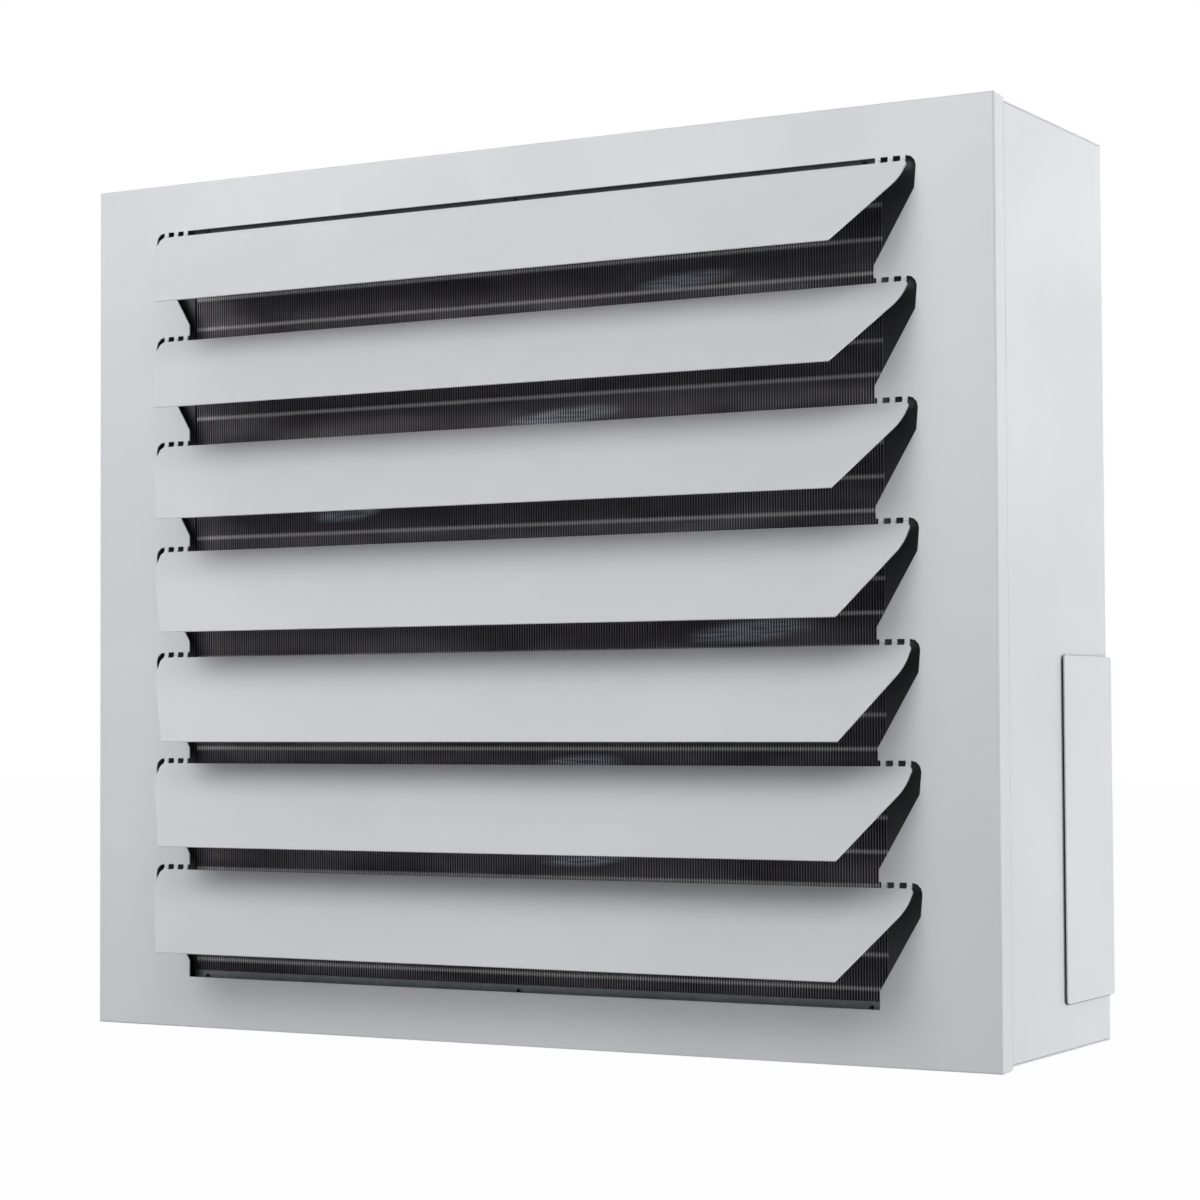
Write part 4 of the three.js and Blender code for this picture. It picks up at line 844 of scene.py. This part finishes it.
# ---------------------------------------------------------------- service cover
# A shallow cover of coated sheet closes the compartment in the right side, with a rubber
# seal under it. Its rear edge is folded round the casing and held by two screws.
as_piece(copy_of("service_cover"), "side_cover", white, "casing",
         ("service_cover",), ease=0.25 * mm)
# the seal's lower edge is moved down past the cover's lower edge, so that its dark rubber shows there as a
# thin dark line: a painted shadow under the cover
seal = copy_of("service_cover_seal")
seal_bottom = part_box("service_cover_seal")[0].z
seal_strip = 5 * mm
shadow_line_drop = 1.75 * mm
lower_verts = [v for v in seal.verts if v.co.z < seal_bottom + seal_strip]
bmesh.ops.translate(seal, vec=(0, 0, -shadow_line_drop), verts=lower_verts)
as_piece(seal, "cover_seal", rubber, "casing", ("service_cover_seal",))

# ---------------------------------------------------------------- front panel and its clips
# The front is a shallow tray folded from 1 mm sheet: one stepped opening is cut in it, with
# saw-toothed sides that carry the louvres. Spring clips of zinc-plated strip hold the tray on.
as_piece(copy_of("front_panel"), "front_tray", white, "casing",
         ("front_panel",), ease=sheet_edge)
for number in range(1, 5):
    as_piece(copy_of(f"panel_clip_{number}"), f"spring_clip_{number}", zinc, "casing",
             (f"panel_clip_{number}",), ease=0.12 * mm)

# ---------------------------------------------------------------- louvres
# Seven flaps cut from the same sheet as the tray. Six narrow tabs at each bend line join a
# flap to the tray's teeth, and the flap is bent open by hand about them.
louvre_pitch = 70.8
hinge_start = 38.9
hinge_depth = -89.5
tab_middles = (254.3, 262.3, 270.3)
tab_half = 1.7
bend_radius = 0.69
tab_outline = [(0, -tab_half), (bend_radius, -tab_half), (bend_radius, tab_half), (0, tab_half)]
shoulder_x = 272.5
shoulder_round = 6 * mm
for number in range(1, 8):
    flap = copy_of(f"louvre_{number}")
    # the short edges through the sheet at the flap's shoulders, which are rounded
    shoulders = [e for e in flap.edges if e.calc_length() < 1.1 * mm
                 and all(abs(abs(v.co.x) - shoulder_x * mm) < 0.3 * mm for v in e.verts)]
    bmesh.ops.bevel(flap, geom=shoulders, offset=shoulder_round, offset_type="OFFSET", affect="EDGES",
                    segments=4, profile=0.5, material=-1)
    hinge = hinge_start - louvre_pitch * number
    for x in tab_middles:
        for side in (-x, x):
            turned(flap, tab_outline, (side, hinge_depth, hinge), facing_right, 16)
    as_piece(flap, f"louvre_flap_{number}", white, f"louvre_{number}_body",
             (f"louvre_{number}",), ease=sheet_edge)

# ---------------------------------------------------------------- room, light and camera
# A plain pale floor well below the hanging unit, soft boxes in front, on the right and
# behind, and a long lens at the photograph's angle.
floor_level = -1.15
floor_half = 30.0
floor_mesh = bmesh.new()
bmesh.ops.create_grid(floor_mesh, x_segments=1, y_segments=1, size=floor_half,
                      matrix=Matrix.Translation((0, 0, floor_level)))
floor_data = bpy.data.meshes.new("floor")
floor_mesh.to_mesh(floor_data)
floor_mesh.free()
floor = bpy.data.objects.new("floor", floor_data)
bpy.context.scene.collection.objects.link(floor)


def seen_plainly(tree):
    """1 where a ray comes from the camera, a reflection or clear glass, and 0 where it only lights."""
    path = put(tree, "LightPath")
    seen = sums(tree, "MAXIMUM", path.outputs["Is Camera Ray"], path.outputs["Is Glossy Ray"])
    return sums(tree, "MAXIMUM", seen, path.outputs["Is Transmission Ray"])


pale, tree, shader = blank("pale floor")
tone = mixed(tree, noise(tree, object_spot(tree), 3.0, 3.0), tint(236, 236, 236), tint(232, 232, 232))
feed(tree, shader, Base_Color=tone, Roughness=0.9)
glow = put(tree, "Emission", Color=(1, 1, 1, 1), Strength=1.0)
blend = put(tree, "MixShader", Fac=product(tree, seen_plainly(tree), 0.985), I1=shader, I2=glow)
feed(tree, tree.nodes["Material Output"], Surface=blend)
floor_data.materials.append(pale)

sky = bpy.data.worlds.new("sky")
sky.use_nodes = True
bpy.context.scene.world = sky
tree = sky.node_tree
tree.nodes.clear()
seen = seen_plainly(tree)
sky_tone = mixed(tree, seen, (0.86, 0.92, 1.0, 1.0), (1.0, 1.0, 1.0, 1.0))
around = put(tree, "Background", Color=sky_tone, Strength=spread(tree, seen, 0.0, 1.0, 0.13, 1.0))
put(tree, "OutputWorld", Surface=around)


def softbox(name, spot, aim, size, watts, colour=(1.0, 1.0, 1.0)):
    """A square lamp at spot that points at aim."""
    lamp = bpy.data.lights.new(name, "AREA")
    lamp.shape = "SQUARE"
    lamp.size = size
    lamp.energy = watts
    lamp.color = colour
    holder = bpy.data.objects.new(name, lamp)
    bpy.context.scene.collection.objects.link(holder)
    holder.location = spot
    holder.rotation_euler = (Vector(aim) - Vector(spot)).to_track_quat("-Z", "Y").to_euler()


front_middle = (0.0, -0.1, -0.25)
softbox("upper left", (-0.55, -1.45, 0.85), front_middle, 1.1, 9.2, (0.98, 0.99, 1.0))
softbox("left", (-0.9, -1.5, 0.4), front_middle, 1.1, 4.6, (1.0, 0.985, 0.99))
softbox("front", (-0.8, -2.6, 0.9), front_middle, 1.8, 16.0, (0.99, 0.985, 1.0))
softbox("upper right", (0.75, -1.35, 0.95), front_middle, 1.1, 7.6, (0.98, 0.985, 1.0))
softbox("rear", (0.5, 2.6, 0.7), (0.0, 0.1, -0.28), 1.4, 18.0)
softbox("side", (2.2, 0.5, -0.65), (0.33, 0.0, -0.3), 1.1, 26.0, (0.98, 0.985, 1.0))

camera_data = bpy.data.cameras.new("camera")
camera_data.lens = 89.36
camera_data.sensor_width = 36.0
camera = bpy.data.objects.new("camera", camera_data)
bpy.context.scene.collection.objects.link(camera)
right = Vector((0.8691, 0.4946, -0.0052))
ahead = Vector((-0.4941, 0.8686, 0.0384))
up = Vector((0.0235, -0.0308, 0.9993))
turn = Matrix((right, up, -ahead)).transposed().to_4x4()
camera.matrix_world = Matrix.Translation((0.9719, -1.6845, -0.3556)) @ turn
bpy.context.scene.camera = camera
bpy.context.scene.view_settings.view_transform = "Standard"
